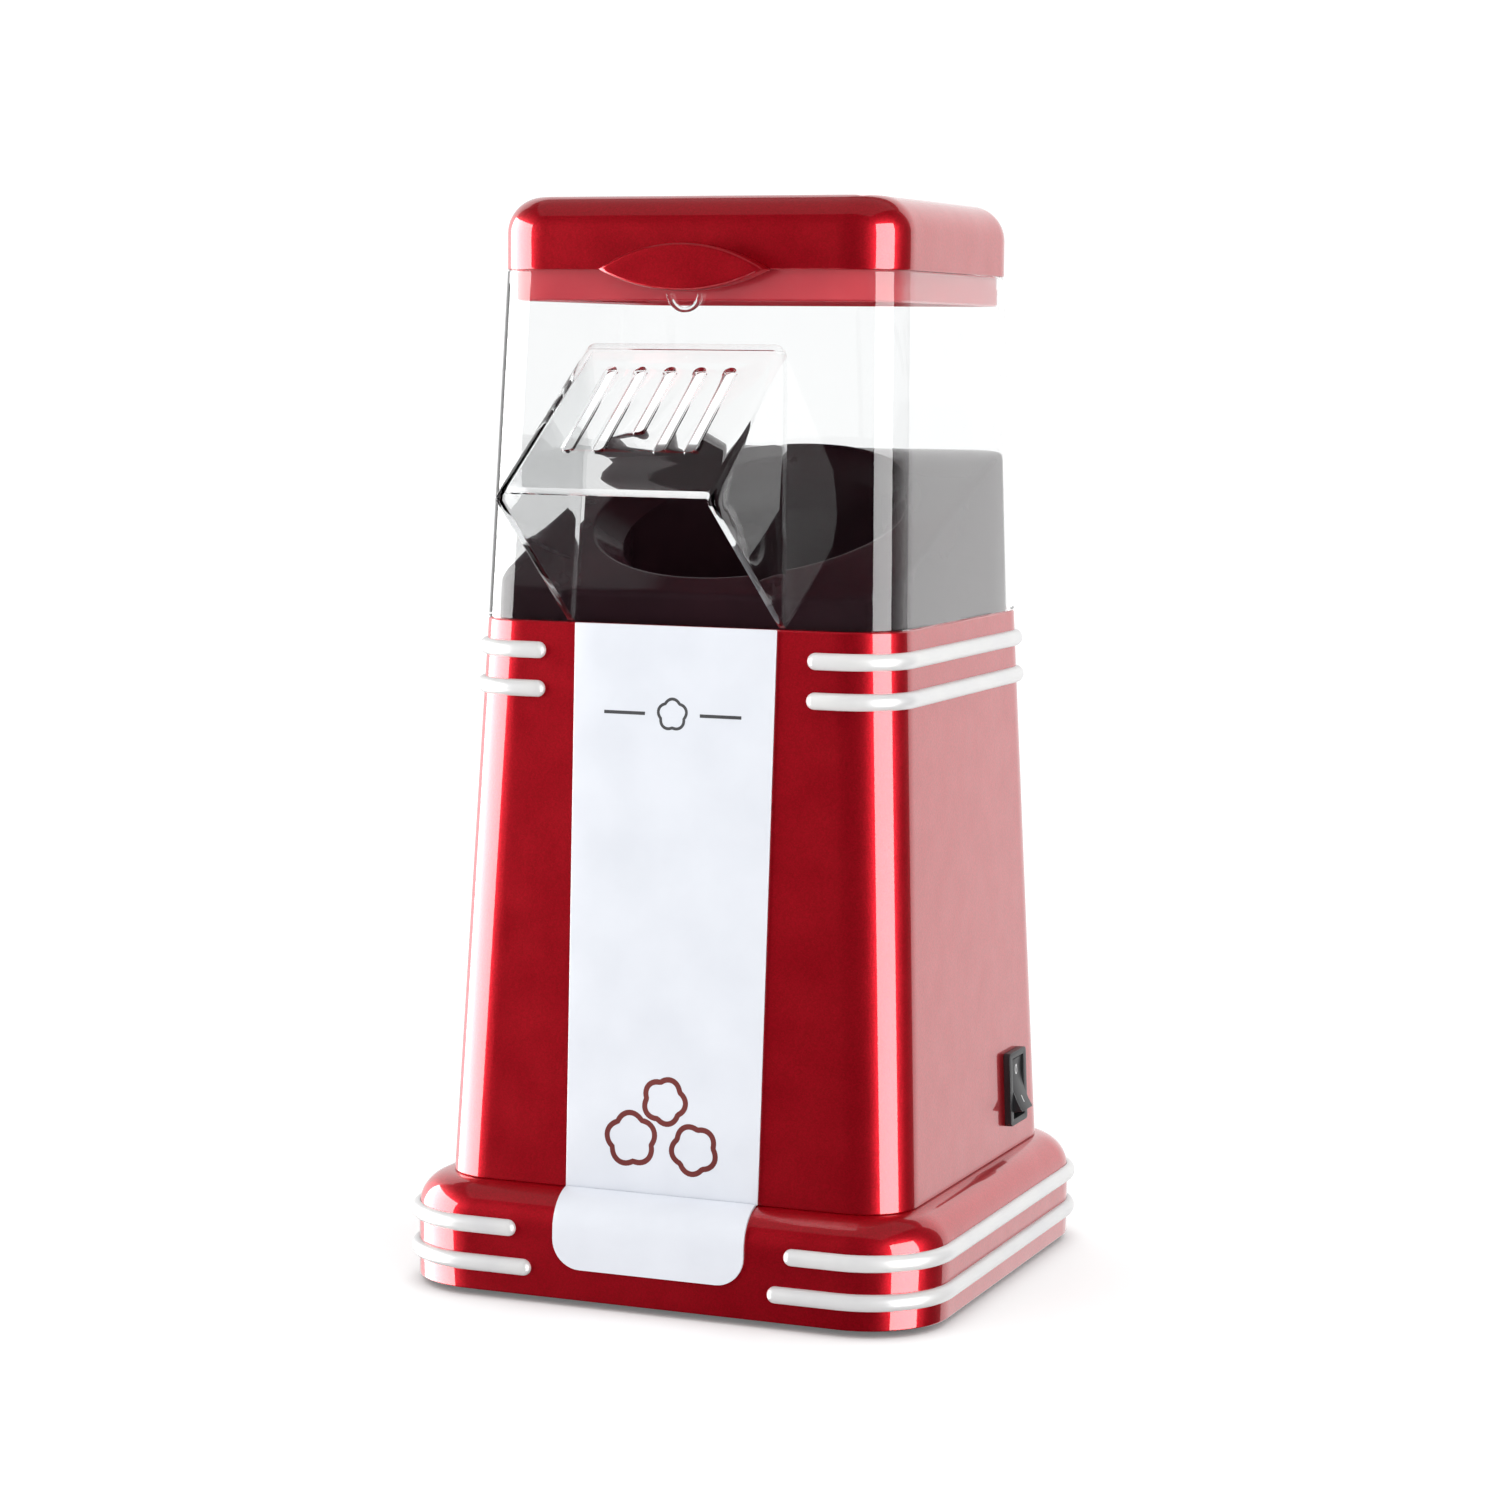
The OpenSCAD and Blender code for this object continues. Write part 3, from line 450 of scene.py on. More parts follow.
def make_body():
    """The tapering column, with its openings for the switch and the cord's gland."""
    edge, gland_r = 0.35 * MM, 5.2 * MM

    def at(z, inset):
        width, depth = body_size(z)
        return rounded_ring(width - 2 * inset, depth - 2 * inset, CORNER_R - inset, z)

    heights = np.linspace(PLINTH_TOP + edge, BODY_TOP - edge, 6)
    rings = [at(PLINTH_TOP, edge)] + [at(z, 0) for z in heights] + [at(BODY_TOP, edge)]
    rings += [at(BODY_TOP, WALL), at(PLINTH_TOP, WALL)]
    piece = loft("body", rings, "root", "red_shell")
    cut(piece, on_side(rounded_outline(13.2 * MM, 19.2 * MM, 1 * MM), -15 * MM, 15 * MM))
    low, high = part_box("cord_gland")
    hole = arc(0, (low.z + high.z) / 2, gland_r, 0, 352.5, 47)
    cut(piece, prism(hole, (0, 0, 0), X, Z, Y, 50 * MM, 80 * MM))
    smooth(piece)
    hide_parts("body_shell")


# ---- ribs ----

def make_rib(name, node, width, depth, radius, z, opening, lean):
    """Half-round rib round the sides and the back, its ends rounded off at the front."""
    least, sunk = 0.02, 0.1 * MM
    ring = rounded_ring(width, depth, radius, 0, steps=18)
    tangents = np.roll(ring, -1, axis=0) - np.roll(ring, 1, axis=0)
    start = len(ring) // 4
    path = [(p, t / np.linalg.norm(t)) for p, t in zip(np.roll(ring, start, axis=0),
                                                      np.roll(tangents, start, axis=0))]
    first, last = (np.array([x, -depth / 2, 0]) for x in (opening / 2, -opening / 2))
    path = [(p, t) for p, t in path if p[1] > -depth / 2 + 0.01 * MM or abs(p[0]) > opening / 2]
    path = [(first, X)] + path + [(last, X)]
    ends = np.radians(np.linspace(90, 15, 6))
    sections = [(first - X * RIB_H / 2 * math.sin(a), X, math.cos(a)) for a in ends]
    sections += [(p, t, 1.0) for p, t in path]
    sections += [(last + X * RIB_H / 2 * math.sin(a), X, math.cos(a)) for a in ends[::-1]]
    angles = np.radians(np.linspace(-90, 90, 17))
    rings = []
    for p, t, scale in sections:
        scale = max(scale, least)
        out = np.cross(t, Z)
        out /= np.linalg.norm(out)
        side = out * math.cos(lean) + Z * math.sin(lean)
        up = Z * math.cos(lean) - out * math.sin(lean)
        profile = [side * RIB_PROUD * math.cos(a) * scale + up * RIB_H / 2 * math.sin(a) * scale
                   for a in angles]
        back = [up * RIB_H / 2 * s * scale - side * sunk for s in (1, -1)]
        rings.append(np.array([p + q + Z * z for q in profile + back]))
    piece = loft(name, rings, "root", "silver_trim", closed_section=False, sharp=50)
    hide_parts(node)


def make_ribs():
    """Two bands round the plinth, two round the body; each row gives a band's height and front opening."""
    for name, node, z, opening in (("plinth_rib_low", "plinth_trim_lower", 9.7 * MM, 73.8 * MM),
                                   ("plinth_rib_high", "plinth_trim_upper", 20.2 * MM, 83 * MM)):
        make_rib(name, node, PLINTH_W, PLINTH_D, PLINTH_R, z, opening, 0)
    for name, node, z, opening in (("body_rib_low", "body_trim_lower", 166.6 * MM, 80.8 * MM),
                                   ("body_rib_high", "body_trim_upper", 177.1 * MM, 80.8 * MM)):
        make_rib(name, node, *body_size(z), CORNER_R, z, opening, SIDE_TILT)


# ---- front panel and tongue ----

def sheet(name, path, normals, half_widths, columns):
    """White sheet along a path in the YZ plane, widening and narrowing as it goes."""
    rows = len(path)
    grid = []
    for lift in (PANEL_T, 0):
        for p, n, half in zip(path, normals, half_widths):
            for u in np.linspace(-1, 1, columns):
                grid.append(np.array(p) + np.array(n) * lift + X * u * half)
    size = rows * columns
    faces = ring_faces(rows, columns, wrap_columns=False)
    faces += [tuple(size + k for k in f[::-1]) for f in faces]
    rim = list(range(columns)) + [i * columns + columns - 1 for i in range(1, rows)]
    rim += [(rows - 1) * columns + j for j in range(columns - 2, -1, -1)]
    rim += [i * columns for i in range(rows - 2, 0, -1)]
    faces += [(b, a, size + a, size + b) for a, b in zip(rim, rim[1:] + rim[:1])]
    piece = new_piece(name, grid, faces, "root", "white_panel")
    round_edges(piece, 0.35 * MM)
    return piece


def front_at(s):
    """Point on the front wall's middle line at distance s above the plinth, measured along the wall."""
    return np.array([0, -FOOT_D / 2 + s * math.sin(FRONT_TILT), PLINTH_TOP + s * math.cos(FRONT_TILT)])


FRONT_OUT = np.array([0, -math.cos(FRONT_TILT), math.sin(FRONT_TILT)])
PANEL_LENGTH = (BODY_TOP - PLINTH_TOP) / math.cos(FRONT_TILT)
PANEL_FOOT, PANEL_HEAD = 28.2 * MM, 29.4 * MM


def make_panel():
    stations = np.linspace(0.1 * MM, PANEL_LENGTH, 8)
    halves = [mix(PANEL_FOOT, PANEL_HEAD, s / PANEL_LENGTH) for s in stations]
    path = [front_at(s) + FRONT_OUT * GAP for s in stations]
    piece = sheet("front_panel_sheet", path, [FRONT_OUT] * len(path), halves, 5)
    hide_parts("front_panel")


def make_tongue():
    """Sheet that bends over the plinth's rounded edge and ends in two rounded corners."""
    half, corner = 27.9 * MM, 8 * MM
    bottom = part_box("front_tongue")[0].z
    cy, cz = -PLINTH_D / 2 + PLINTH_ROUND, PLINTH_TOP - PLINTH_ROUND
    begin = math.degrees(math.asin((FOOT_D / 2 + PANEL_T + 0.1 * MM + cy) / PLINTH_ROUND))
    path, normals, halves = [], [], []
    for a in np.radians(np.linspace(begin, 90, 14)):
        n = np.array([0, -math.sin(a), math.cos(a)])
        path.append(np.array([0, cy, cz]) + n * (PLINTH_ROUND + GAP))
        normals.append(n)
        halves.append(half)
    for a in np.radians(np.linspace(0, 90, 11)):
        z = bottom + corner * (1 - math.sin(a))
        if z < cz - 0.01 * MM:
            path.append(np.array([0, -PLINTH_D / 2 - GAP, z]))
            normals.append(-Y)
            halves.append(half - corner + corner * math.cos(a))
    piece = sheet("front_tongue_sheet", path, normals, halves, 25)
    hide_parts("front_tongue")


# ---- clear cover ----

HOOD_FOOT_W = size_of("chute_hood")[0]
HOOD_TOP_W = 59.2 * MM
HOOD_WALL = 2 * MM
HOOD_LIP_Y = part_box("chute_hood")[0].y
HOOD_LIP_Z = 223 * MM
HOOD_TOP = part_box("chute_hood")[1].z
HOOD_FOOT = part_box("chute_hood")[0].z


def cover_front(z):
    """Y of the cover's front wall at height z."""
    return -cover_size(z)[1] / 2 - GAP


def hood_half(z):
    """Half of the hood's outer width at height z."""
    return mix(HOOD_FOOT_W, HOOD_TOP_W, (z - BODY_TOP) / (HOOD_TOP - BODY_TOP)) / 2


def make_cover():
    """Clear walls with a seat for the lid's skirt and a doorway behind the hood."""
    edge = 0.4 * MM
    low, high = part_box("window_cover")[0].z, COVER_TOP

    def at(z, inset):
        width, depth = cover_size(z)
        return rounded_ring(width - 2 * inset, depth - 2 * inset, CORNER_R - inset, z, 12)

    seat, ledge = 3.6 * MM, 1.4 * MM
    rings = [at(low, edge), at(low + edge, 0), at(high - edge, 0), at(high, edge),
             at(high, ledge), at(high - seat, ledge), at(high - seat, CLEAR_WALL),
             at(low + edge, CLEAR_WALL), at(low, CLEAR_WALL - edge)]
    piece = loft("clear_cover", rings, "cover", "clear_plastic")
    door_top = HOOD_TOP - CLEAR_WALL
    foot_half, top_half = hood_half(BODY_TOP - WALL) - HOOD_WALL, hood_half(door_top) - HOOD_WALL
    door = [(-foot_half, BODY_TOP - WALL), (foot_half, BODY_TOP - WALL), (top_half, door_top),
            (-top_half, door_top)]
    cut(piece, prism(door, (0, 0, 0), X, Z, Y, -70 * MM, -40 * MM))
    smooth(piece)
    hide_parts("window_cover")
    piece.visible_shadow = False


def u_faces(rows, count):
    """Faces of a bent-over U whose rings run along its outside and back along its inside."""
    faces = ring_faces(rows, count)
    last = (rows - 1) * count
    for j in range(count // 2 - 1):
        a, b, c, d = j, j + 1, count - 2 - j, count - 1 - j
        faces.append((d, c, b, a))
        faces.append((last + a, last + b, last + c, last + d))
    return faces


def make_hood():
    """Sloping plate with a side wall under each edge, ruled from the cover's front to the lip."""
    steps, rows = 8, 10

    def section(inset, fillet, top, foot, depth_at):
        """One bent-over U, from the left wall's foot to the right wall's foot."""
        half = hood_half(top) - inset
        shoulder = mix(foot, top - fillet, 0.5)
        legs = [(hood_half(z) - inset, z) for z in (foot, shoulder)]
        points = [(-x, z) for x, z in legs]
        points += arc(-half + fillet, top - fillet, fillet, 180, 90, steps)
        points += arc(half - fillet, top - fillet, fillet, 90, 0, steps)
        points += legs[::-1]
        return np.array([[x, depth_at(z), z] for x, z in points])

    rise = (HOOD_TOP - HOOD_LIP_Z) / (cover_front(HOOD_TOP) - HOOD_LIP_Y)
    upright = HOOD_WALL * math.hypot(1, rise)
    leg = 3.5 * MM
    outer_back = section(0, 4 * MM, HOOD_TOP, HOOD_FOOT, cover_front)
    inner_back = section(HOOD_WALL, 2.2 * MM, HOOD_TOP - upright, HOOD_FOOT, cover_front)
    outer_lip = section(0, 3.2 * MM, HOOD_LIP_Z, HOOD_LIP_Z - leg, lambda z: HOOD_LIP_Y)
    inner_lip = section(HOOD_WALL, 0.6 * MM, HOOD_LIP_Z - 0.75 * upright, HOOD_LIP_Z - leg,
                        lambda z: HOOD_LIP_Y)
    rings = []
    for t in np.linspace(0, 1, rows):
        outer, inner = mix(outer_back, outer_lip, t), mix(inner_back, inner_lip, t)
        rings.append(np.concatenate([outer, inner[::-1]]))
    piece = new_piece("hood", np.concatenate(rings), u_faces(rows, len(rings[0])), "cover", "clear_plastic")
    along = np.array([0, HOOD_LIP_Y - cover_front(HOOD_TOP), HOOD_LIP_Z - HOOD_TOP])
    along /= np.linalg.norm(along)
    up = np.cross(along, X)
    top = np.array([0, cover_front(HOOD_TOP), HOOD_TOP])
    slot_r, pitch, first = 1.7 * MM, 8.6 * MM, 12.4 * MM
    slot_reach, middle_reach = 33.5 * MM, 25.4 * MM
    for i in range(-2, 3):
        reach = middle_reach if i == 0 else slot_reach
        outline = arc(0, first, slot_r, 180, 360, 10) + arc(0, first + reach, slot_r, 0, 180, 10)
        outline = [(x + i * pitch, y) for x, y in outline]
        cut(piece, prism(outline, top, X, along, up, -6 * MM, 6 * MM))
    round_edges(piece, 0.35 * MM, 2)
    piece.data.materials.append(CLEAR_HOOD)
    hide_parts("chute_hood")
    piece.visible_shadow = False


def make_catch():
    """Half ring that hangs under the lid's grip."""
    low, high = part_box("lid_catch")
    centre = np.array([0, high.y, high.z])
    outer, inner = 5.2 * MM, 3.8 * MM
    outline = arc(0, 0, outer, 180, 360, 20) + arc(0, 0, inner, 360, 180, 20)
    shape = prism(outline, centre, X, Z, -Y, GAP, high.y - low.y)
    piece = new_piece("catch", *shape, "cover", "clear_plastic")
    round_edges(piece, 0.25 * MM, 2)
    piece.data.materials.append(CLEAR_HOOD)
    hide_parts("lid_catch")
    piece.visible_shadow = False


# ---- funnel ----

def make_funnel():
    """Sloping floor round a flared throat, with rounded edges and an upright skirt."""
    bottom, z_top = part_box("funnel_insert")[0].z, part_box("funnel_insert")[1].z
    slope, axis_z, throat_end = 0.4, 215.3 * MM, 185.1 * MM
    throat, rim, skin, round_r = 38 * MM, 46 * MM, 2.2 * MM, 1.6 * MM
    foot_w, foot_d, top_w, top_d, corner = (n * MM for n in (117, 111.2, 115.2, 105.8, 12.5))
    rim_y = -2 * MM
    tilt = math.atan(slope)
    angles = np.linspace(0, 2 * math.pi, 128, endpoint=False)
    along = np.array([0, math.cos(tilt), math.sin(tilt)])
    normal = np.array([0, -math.sin(tilt), math.cos(tilt)])
    middle = np.array([0, rim_y, axis_z + slope * rim_y])

    def slope_z(y):
        return axis_z + slope * y

    def floor_z(y):
        """Height of the sloping floor, easing into the level part at the back."""
        ease = 2.5 * MM
        t = (z_top - slope_z(y)) / ease
        return z_top - ease * math.log1p(math.exp(t)) if t < 30 else slope_z(y)

    def cone_ring(radius, drop):
        """Circle in the plane of the sloping floor, round the flared throat's rim."""
        return np.array([middle + X * radius * math.cos(a) + along * radius * math.sin(a) - normal * drop
                         for a in angles])

    def throat_ring(radius, height):
        """Ring on an upright cylinder, at a height that depends on y."""
        return np.array([[radius * math.cos(a), radius * math.sin(a), height(radius * math.sin(a))]
                         for a in angles])

    def outline_point(a, inset, z):
        """Where the ray at angle a meets the outer outline at height z, set in by inset."""
        t = (z - bottom) / (z_top - bottom)
        w, d, r = mix(foot_w, top_w, t) / 2 - inset, mix(foot_d, top_d, t) / 2 - inset, corner - inset
        c, s = math.cos(a), math.sin(a)
        k = min(w / max(abs(c), 1e-9), d / max(abs(s), 1e-9))
        x, y = c * k, s * k
        if abs(x) > w - r and abs(y) > d - r:
            cx, cy = math.copysign(w - r, x), math.copysign(d - r, y)
            b = c * cx + s * cy
            k = b + math.sqrt(max(b * b - cx * cx - cy * cy + r * r, 0))
            x, y = c * k, s * k
        return x, y, z

    def outline_ring(inset, z):
        return np.array([outline_point(a, inset, z) for a in angles])

    def on_floor(ring, drop=0.0):
        return np.array([[x, y, floor_z(y) - drop] for x, y, _ in ring])

    def below(inset, drop):
        """Ring near the outer edge, set in and lowered by the given amounts."""
        ring = outline_ring(inset, z_top)
        for _ in range(3):
            ring = np.array([outline_point(a, inset, floor_z(p[1]) - drop) for a, p in zip(angles, ring)])
        return on_floor(ring, drop)

    edge = [below(round_r - round_r * math.cos(a), round_r - round_r * math.sin(a))
            for a in np.radians((90, 67, 45, 22, 0))]
    inner_edge = below(skin, skin)
    flat = cone_ring(rim + 0.7 * MM, 0)
    rings = [throat_ring(throat, lambda y: throat_end), throat_ring(throat, lambda y: floor_z(y) - 8 * MM),
             throat_ring(throat, lambda y: slope_z(y) - 6.2 * MM),
             cone_ring(rim - 1.2 * MM, 1.25 * MM), cone_ring(rim - 0.4 * MM, 0.4 * MM),
             cone_ring(rim + 0.1 * MM, 0.05 * MM), flat]
    rings += [on_floor(mix(flat, edge[0], t)) for t in (0.15, 0.35, 0.6, 0.85)]
    rings += edge
    rings += [outline_ring(0, bottom), outline_ring(skin, bottom), inner_edge,
              on_floor(mix(flat, inner_edge, 0.3), skin),
              throat_ring(throat + skin, lambda y: min(slope_z(y), z_top) - 9.5 * MM),
              throat_ring(throat + skin, lambda y: throat_end)]
    piece = loft("funnel", rings, "cover", "funnel_black", sharp=45)
    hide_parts("funnel_insert")


# ---- lid ----

def make_lid():
    """Shell with a closed top; its outside and inside meet at the lower edge."""
    cap_w, cap_d, cap_r = 20 * MM, 15 * MM, 4 * MM
    outer, inner = crowned_shell(LID_W, LID_D, CORNER_R, COVER_TOP + GAP, LID_TOP, LID_ROUND,
                                 CLEAR_WALL, 0.5 * MM)
    rings = outer + [rounded_ring(cap_w, cap_d, cap_r, LID_TOP)]
    under = [rounded_ring(cap_w, cap_d, cap_r, LID_TOP - CLEAR_WALL)] + inner
    count = len(rings[0])
    base = len(rings) * count
    last = base + (len(under) - 1) * count
    faces = ring_faces(len(rings), count)
    faces += [tuple(base + k for k in f) for f in ring_faces(len(under), count)]
    faces += [tuple(range(base - count, base)), tuple(range(base + count - 1, base - 1, -1))]
    faces += [(last + j, last + (j + 1) % count, (j + 1) % count, j) for j in range(count)]
    piece = new_piece("lid", np.concatenate(rings + under), faces, "lid", "red_shell")
    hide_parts("lid_shell")


def make_grip():
    """Lens-shaped thumb lip on the front of the lid."""
    half, rise, drop, round_r = 24 * MM, 7 * MM, 5.7 * MM, 1 * MM
    front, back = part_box("lid_shell")[0].y, -LID_D / 2 - 0.01 * MM
    upper_r, lower_r = arc_radius(half, rise), arc_radius(half, drop)

    def lens(inset, y):
        tip = half - inset * 2.5
        across = tip * np.linspace(-1, 1, 33)[:-1]
        points = [(x, math.sqrt(upper_r ** 2 - x * x) - upper_r + rise - inset) for x in across]
        points += [(x, lower_r - drop - math.sqrt(lower_r ** 2 - x * x) + inset) for x in -across]
        return np.array([[x, y, COVER_TOP + z] for x, z in points])

    rings = [lens(0, back)]
    rings += [lens(round_r - round_r * math.cos(a), front + round_r - round_r * math.sin(a))
              for a in np.radians((0, 20, 40, 60, 75, 90))]
    rings.append(lens(3 * MM, front))
    loft("lid_grip", rings, "lid", "red_shell", closed_section=False, sharp=40)


def make_skirt():
    low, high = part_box("lid_skirt")
    width, depth = size_of("lid_skirt")
    wall, edge, radius = 2 * MM, 0.5 * MM, CORNER_R - 3 * MM

    def at(inset, z):
        return rounded_ring(width - 2 * inset, depth - 2 * inset, radius - inset, z)

    rings = [at(edge, low.z), at(0, low.z + edge), at(0, high.z), at(wall, high.z),
             at(wall, low.z + edge), at(wall - edge, low.z)]
    piece = loft("skirt", rings, "lid", "red_skirt")
    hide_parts("lid_skirt")


# ---- switch ----

def make_switch():
    """Bezel and barrel in one, hollowed for the rocker."""
    bezel = rounded_outline(15 * MM, 21 * MM, 1.2 * MM)
    barrel = rounded_outline(12.8 * MM, 18.8 * MM, 0.8 * MM)
    opening = rounded_outline(10.2 * MM, 17.4 * MM, 0.5 * MM)
    piece = new_piece("switch_frame", *on_side(bezel, GAP, 2 * MM), "root", "switch_black")
    combine(piece, bare_object(*on_side(barrel, -11 * MM, 1 * MM)), "UNION")
    cut(piece, on_side(opening, -8 * MM, 5 * MM))
    round_edges(piece, 0.4 * MM)
    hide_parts("switch_housing")


ROCKER_TILT = math.radians(12)
PIVOT = SWITCH_AT - SIDE_OUT * 1.5 * MM
KEY_HALF = 7.6 * MM
KEY_MIDDLE = 3.3 * MM
KEY_R = arc_radius(KEY_HALF, 1.4 * MM)


def rocker_axes():
    """Outward and upward directions of the rocker at rest, its top pressed in."""
    angle = SIDE_TILT + ROCKER_TILT
    out = np.array([math.cos(angle), 0, math.sin(angle)])
    up = np.array([-math.sin(angle), 0, math.cos(angle)])
    return out, up


def make_rocker():
    """Key with a hollow face of radius KEY_R, whose middle stands KEY_MIDDLE off the pivot."""
    out, up = rocker_axes()
    span = math.degrees(math.asin(KEY_HALF / KEY_R))
    outline = arc(KEY_MIDDLE + KEY_R, 0, KEY_R, 180 - span, 180 + span, 14)
    outline += [(1 * MM, -7.4 * MM), (-3 * MM, -3.2 * MM), (-3 * MM, 3.2 * MM), (1 * MM, 7.4 * MM)]
    shape = prism(outline, PIVOT, out, up, Y, -4.8 * MM, 4.8 * MM)
    piece = new_piece("rocker_key", *shape, "rocker", "switch_black")
    round_edges(piece, 0.35 * MM, angle=30)
    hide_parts("switch_rocker")


def ribbon(points, width, closed):
    """Outline points on both sides of a line, as pairs."""
    points = [np.array(p, float) for p in points]
    pairs = []
    count = len(points)
    for i, p in enumerate(points):
        before = points[(i - 1) % count] if closed or i else p
        after = points[(i + 1) % count] if closed or i < count - 1 else p
        d = after - before
        n = np.array([-d[1], d[0]]) / np.linalg.norm(d)
        pairs.append((p - n * width / 2, p + n * width / 2))
    return pairs


def printed(name, strokes, place, thickness, body, slot, ink):
    """Raised print: each stroke is (points, width, closed) and place(u, v, h) puts it on a surface."""
    vertices, faces = [], []
    for points, width, closed in strokes:
        pairs = ribbon(points, width, closed)
        base, count = len(vertices), len(pairs)
        for h in (0.0, thickness):
            for a, b in pairs:
                vertices += [place(a[0], a[1], h), place(b[0], b[1], h)]
        top = base + 2 * count
        for i in range(count if closed else count - 1):
            j = (i + 1) % count
            a, b, c, d = 2 * i, 2 * i + 1, 2 * j + 1, 2 * j
            faces += [(top + a, top + d, top + c, top + b), (base + a, base + b, base + c, base + d),
                      (base + a, base + d, top + d, top + a), (base + b, top + b, top + c, base + c)]
        if not closed:
            e = 2 * (count - 1)
            faces += [(base, top, top + 1, base + 1), (base + e, base + e + 1, top + e + 1, top + e)]
    piece = new_piece(name, vertices, faces, body, slot, 40)
    piece.data.materials.append(ink)


def make_marks():
    """The rocker's 0 and I marks."""
    out, up = rocker_axes()

    def on_face(u, v, h):
        level = KEY_MIDDLE + KEY_R - math.sqrt(KEY_R ** 2 - v * v)
        return PIVOT + out * (level + h) + Y * u + up * v

    oval = [(0.8 * MM * math.cos(a), 4.3 * MM + 1.25 * MM * math.sin(a))
            for a in np.linspace(0, 2 * math.pi, 24, endpoint=False)]
    line = [(0, v * MM) for v in (-5.4, -4.9, -4.4, -3.9, -3.4)]
    strokes = [(oval, 0.35 * MM, True), (line, 0.4 * MM, False)]
    printed("rocker_marks", strokes, on_face, 0.06 * MM, "rocker", "switch_black", INK_WHITE)


# ---- printed motif on the white panel ----

def puff(cx, cy, size, turn):
    """Outline of one popped kernel."""
    points = []
    for a in np.linspace(0, 2 * math.pi, 60, endpoint=False):
        r = size * (1 + 0.16 * abs(math.sin(2.5 * (a + turn))) - 0.16)
        points.append((cx + r * math.cos(a), cy + r * math.sin(a)))
    return points


def make_print():
    """Three popped kernels low on the panel, and one between two dashes near its head."""
    def on_panel(u, v, h):
        return front_at(v) + FRONT_OUT * (PANEL_T + 0.01 * MM + h) + X * u

    head = 130.5 * MM
    small = [([(-20 * MM, head), (-8 * MM, head)], 0.9 * MM, False),
             ([(8 * MM, head), (20 * MM, head)], 0.9 * MM, False),
             (puff(0, head, 4.2 * MM, 0.3), 0.8 * MM, True)]
    printed("panel_ornament", small, on_panel, 0.05 * MM, "root", "white_panel", INK_GREY)
    big = [(puff(x * MM, y * MM, r * MM, turn), 1.5 * MM, True)
           for x, y, r, turn in ((-9, 15, 7.2, 0.2), (9.5, 13.5, 6.6, 1.1), (0.5, 26, 6.2, 0.7))]
    printed("panel_popcorn", big, on_panel, 0.05 * MM, "root", "white_panel", INK_RED)


# ---- stage ----

def make_camera():
    """The photograph's view, azimuth measured from the front towards +X."""
    azimuth, elevation, roll = (math.radians(a) for a in (21.869, 5.784, 0.522))
    distance, target = 1.05584, np.array([0, 0, 0.152])
    back = np.array([math.cos(elevation) * math.sin(azimuth), -math.cos(elevation) * math.cos(azimuth),
                     math.sin(elevation)])
    right = np.array([math.cos(azimuth), math.sin(azimuth), 0])
    up = np.cross(back, right)
    right, up = (right * math.cos(roll) + up * math.sin(roll),
                 up * math.cos(roll) - right * math.sin(roll))
    data = bpy.data.cameras.new("camera")
    data.lens = 89.42
    data.sensor_width = 36
    data.shift_x = -0.00407
    data.shift_y = -0.01407
    camera = bpy.data.objects.new("camera", data)
    columns = Matrix((right, up, back)).transposed()
    camera.matrix_world = Matrix.Translation(Vector(target + back * distance)) @ columns.to_4x4()
    bpy.context.scene.collection.objects.link(camera)
    bpy.context.scene.camera = camera


def area_light(name, place, width, height, radiance):
    """A flat light facing down, out of the camera's sight, given by its radiance."""
    data = bpy.data.lights.new(name, "AREA")
    data.shape = "RECTANGLE"
    data.size, data.size_y = width, height
    data.energy = radiance * math.pi * width * height
    light = bpy.data.objects.new(name, data)
    light.location = place
    light.visible_camera = False
    light.visible_transmission = False
    bpy.context.scene.collection.objects.link(light)
    return light


def softbox(name, azimuth, distance, low, high, width, radiance):
    """A flat light seen only in reflections, upright at an azimuth measured from the front towards +X."""
    a = math.radians(azimuth)
    place = Vector((math.sin(a) * distance, -math.cos(a) * distance, (low + high) / 2))
    light = area_light(name, place, width, high - low, radiance)
    light.rotation_euler = (place - Vector((0, 0, place.z))).to_track_quat("Z", "Y").to_euler()
    light.visible_diffuse = False


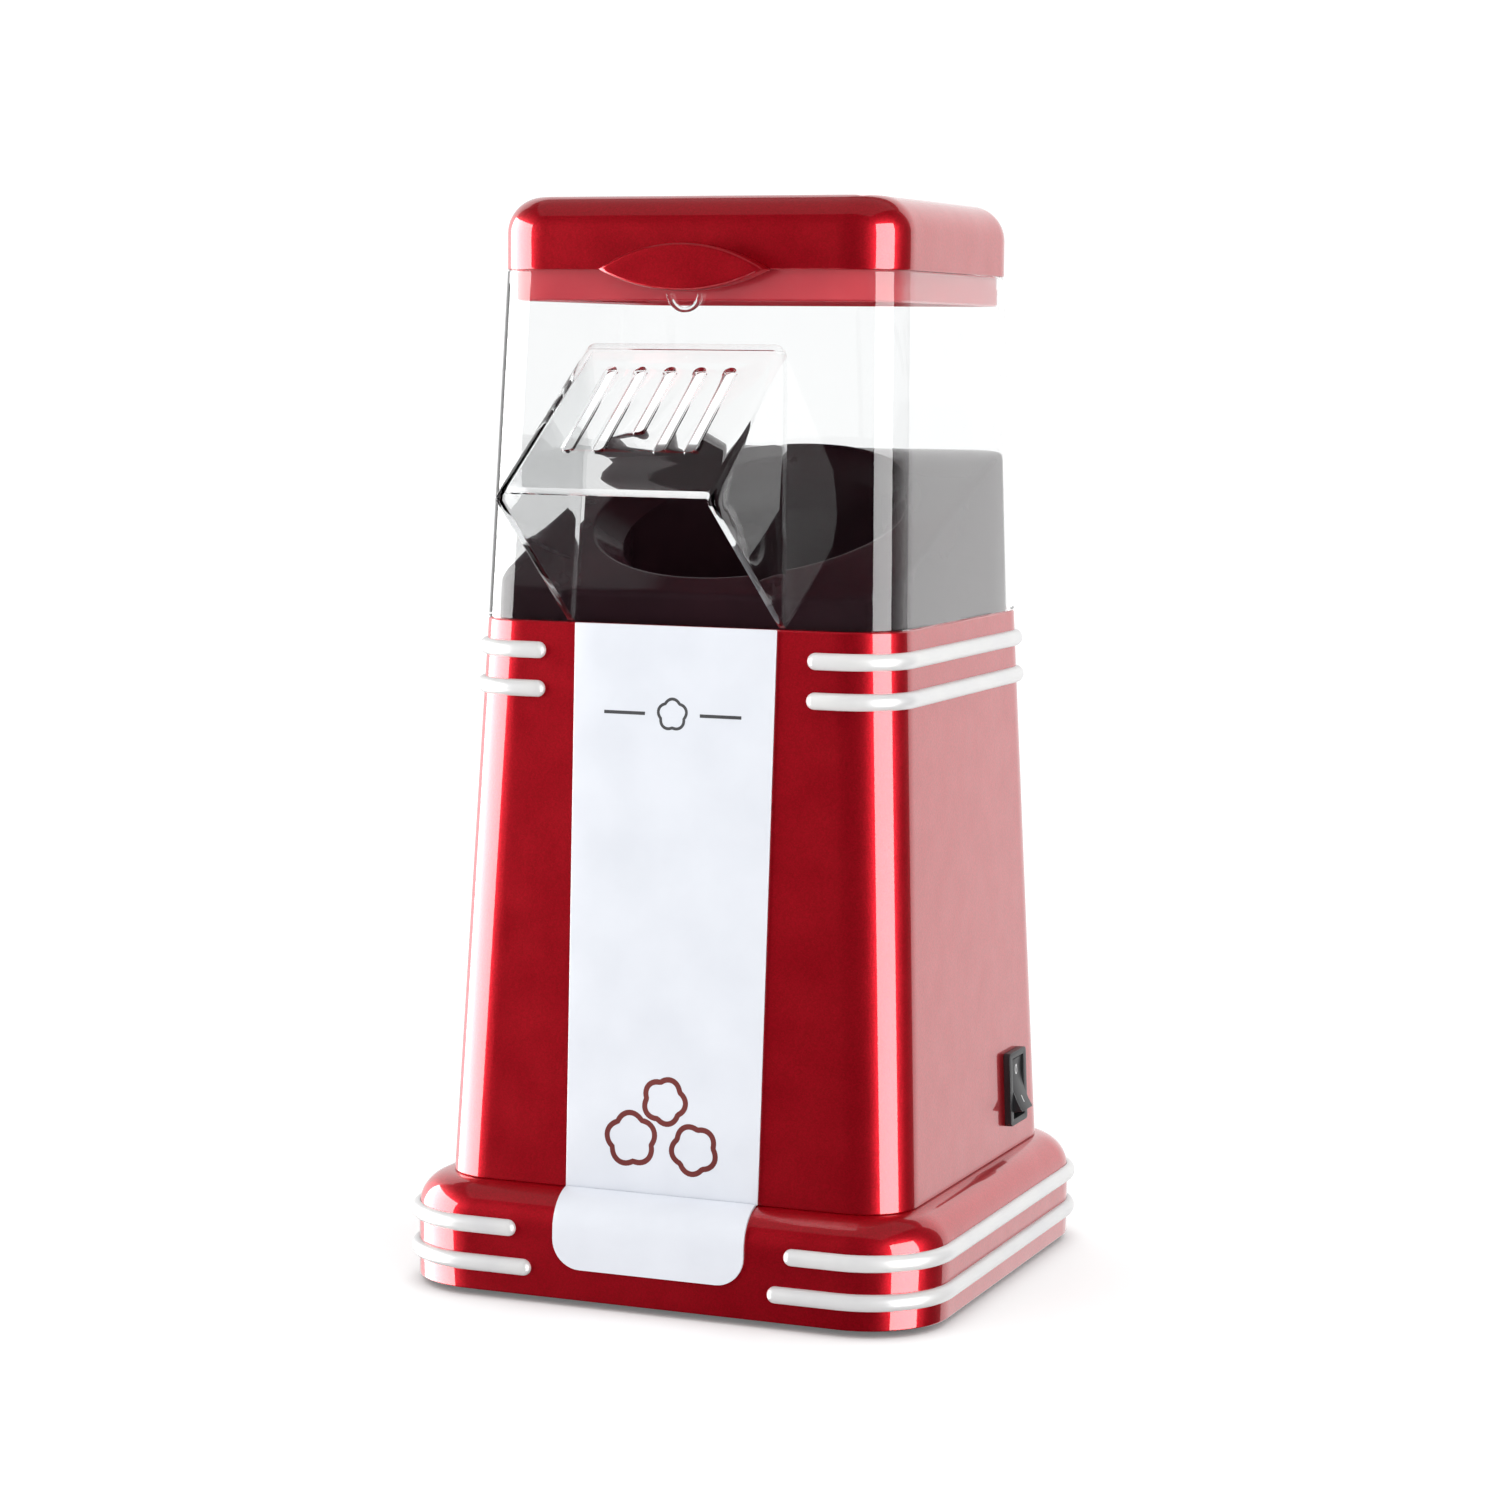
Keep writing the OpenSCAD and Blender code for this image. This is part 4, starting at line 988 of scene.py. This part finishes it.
def make_stage():
    """Even white surroundings, a pale floor, and lights whose reflections shape the lacquer."""
    world = bpy.data.worlds.new("studio")
    bpy.context.scene.world = world
    world.use_nodes = True
    tree = world.node_tree
    place = tree.nodes.new("ShaderNodeTexCoord")
    split = tree.nodes.new("ShaderNodeSeparateXYZ")
    level = tree.nodes.new("ShaderNodeMapRange")
    for socket, value in (("From Min", -1), ("From Max", 1), ("To Min", 1.12), ("To Max", 1.18)):
        level.inputs[socket].default_value = value
    tree.links.new(place.outputs["Generated"], split.inputs["Vector"])
    tree.links.new(split.outputs["Z"], level.inputs["Value"])
    tree.links.new(level.outputs["Result"], tree.nodes["Background"].inputs["Strength"])
    tree.nodes["Background"].inputs["Color"].default_value = (1, 1, 1, 1)
    world.cycles_visibility.glossy = False
    bpy.ops.mesh.primitive_circle_add(vertices=96, radius=3, fill_type="NGON")
    floor = bpy.context.object
    floor.name = "floor"
    made = Material("floor", Specular_IOR_Level=0.0, Emission_Color=(1, 1, 1, 1), Emission_Strength=0.12)
    made.colour((0.93, 0.93, 0.93), (0.95, 0.95, 0.95), 3).roughness(0.7, 0.8)
    floor.data.materials.append(made.material)
    floor.visible_glossy = False
    floor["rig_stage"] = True
    softbox("left_box", -79, 1.4, -1.0, 0.9, 1.82, 8)
    softbox("right_box", 71.5, 1.4, -1.0, 0.9, 0.99, 7.8)
    softbox("back_box", 170, 2.5, -2.5, 2.6, 2.9, 1.1)
    softbox("left_back_box", -137, 2.5, -2.5, 2.6, 2.3, 0.9)
    area_light("sky_box", (0, 0, 2.4), 3, 3, 0.22)
    bpy.context.scene.view_settings.view_transform = "Standard"


make_camera()
make_stage()
make_plinth()
make_body()
make_ribs()
make_panel()
make_tongue()
make_cover()
make_hood()
make_catch()
make_funnel()
make_lid()
make_grip()
make_skirt()
make_switch()
make_rocker()
make_marks()
make_print()

slots = {part["node"]: part["material_slot"] for part in frame["record"]["subparts"]}
for node_name, node in frame["nodes"].items():
    node.data.materials.clear()
    node.data.materials.append(MATERIALS[slots[node_name]])
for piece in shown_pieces():
    if not piece.data.materials:
        piece.data.materials.append(MATERIALS[piece["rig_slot"]])

scene = bpy.context.scene
scene.cycles.max_bounces = 24
scene.cycles.transmission_bounces = 24
scene.cycles.caustics_reflective = False
scene.cycles.caustics_refractive = True
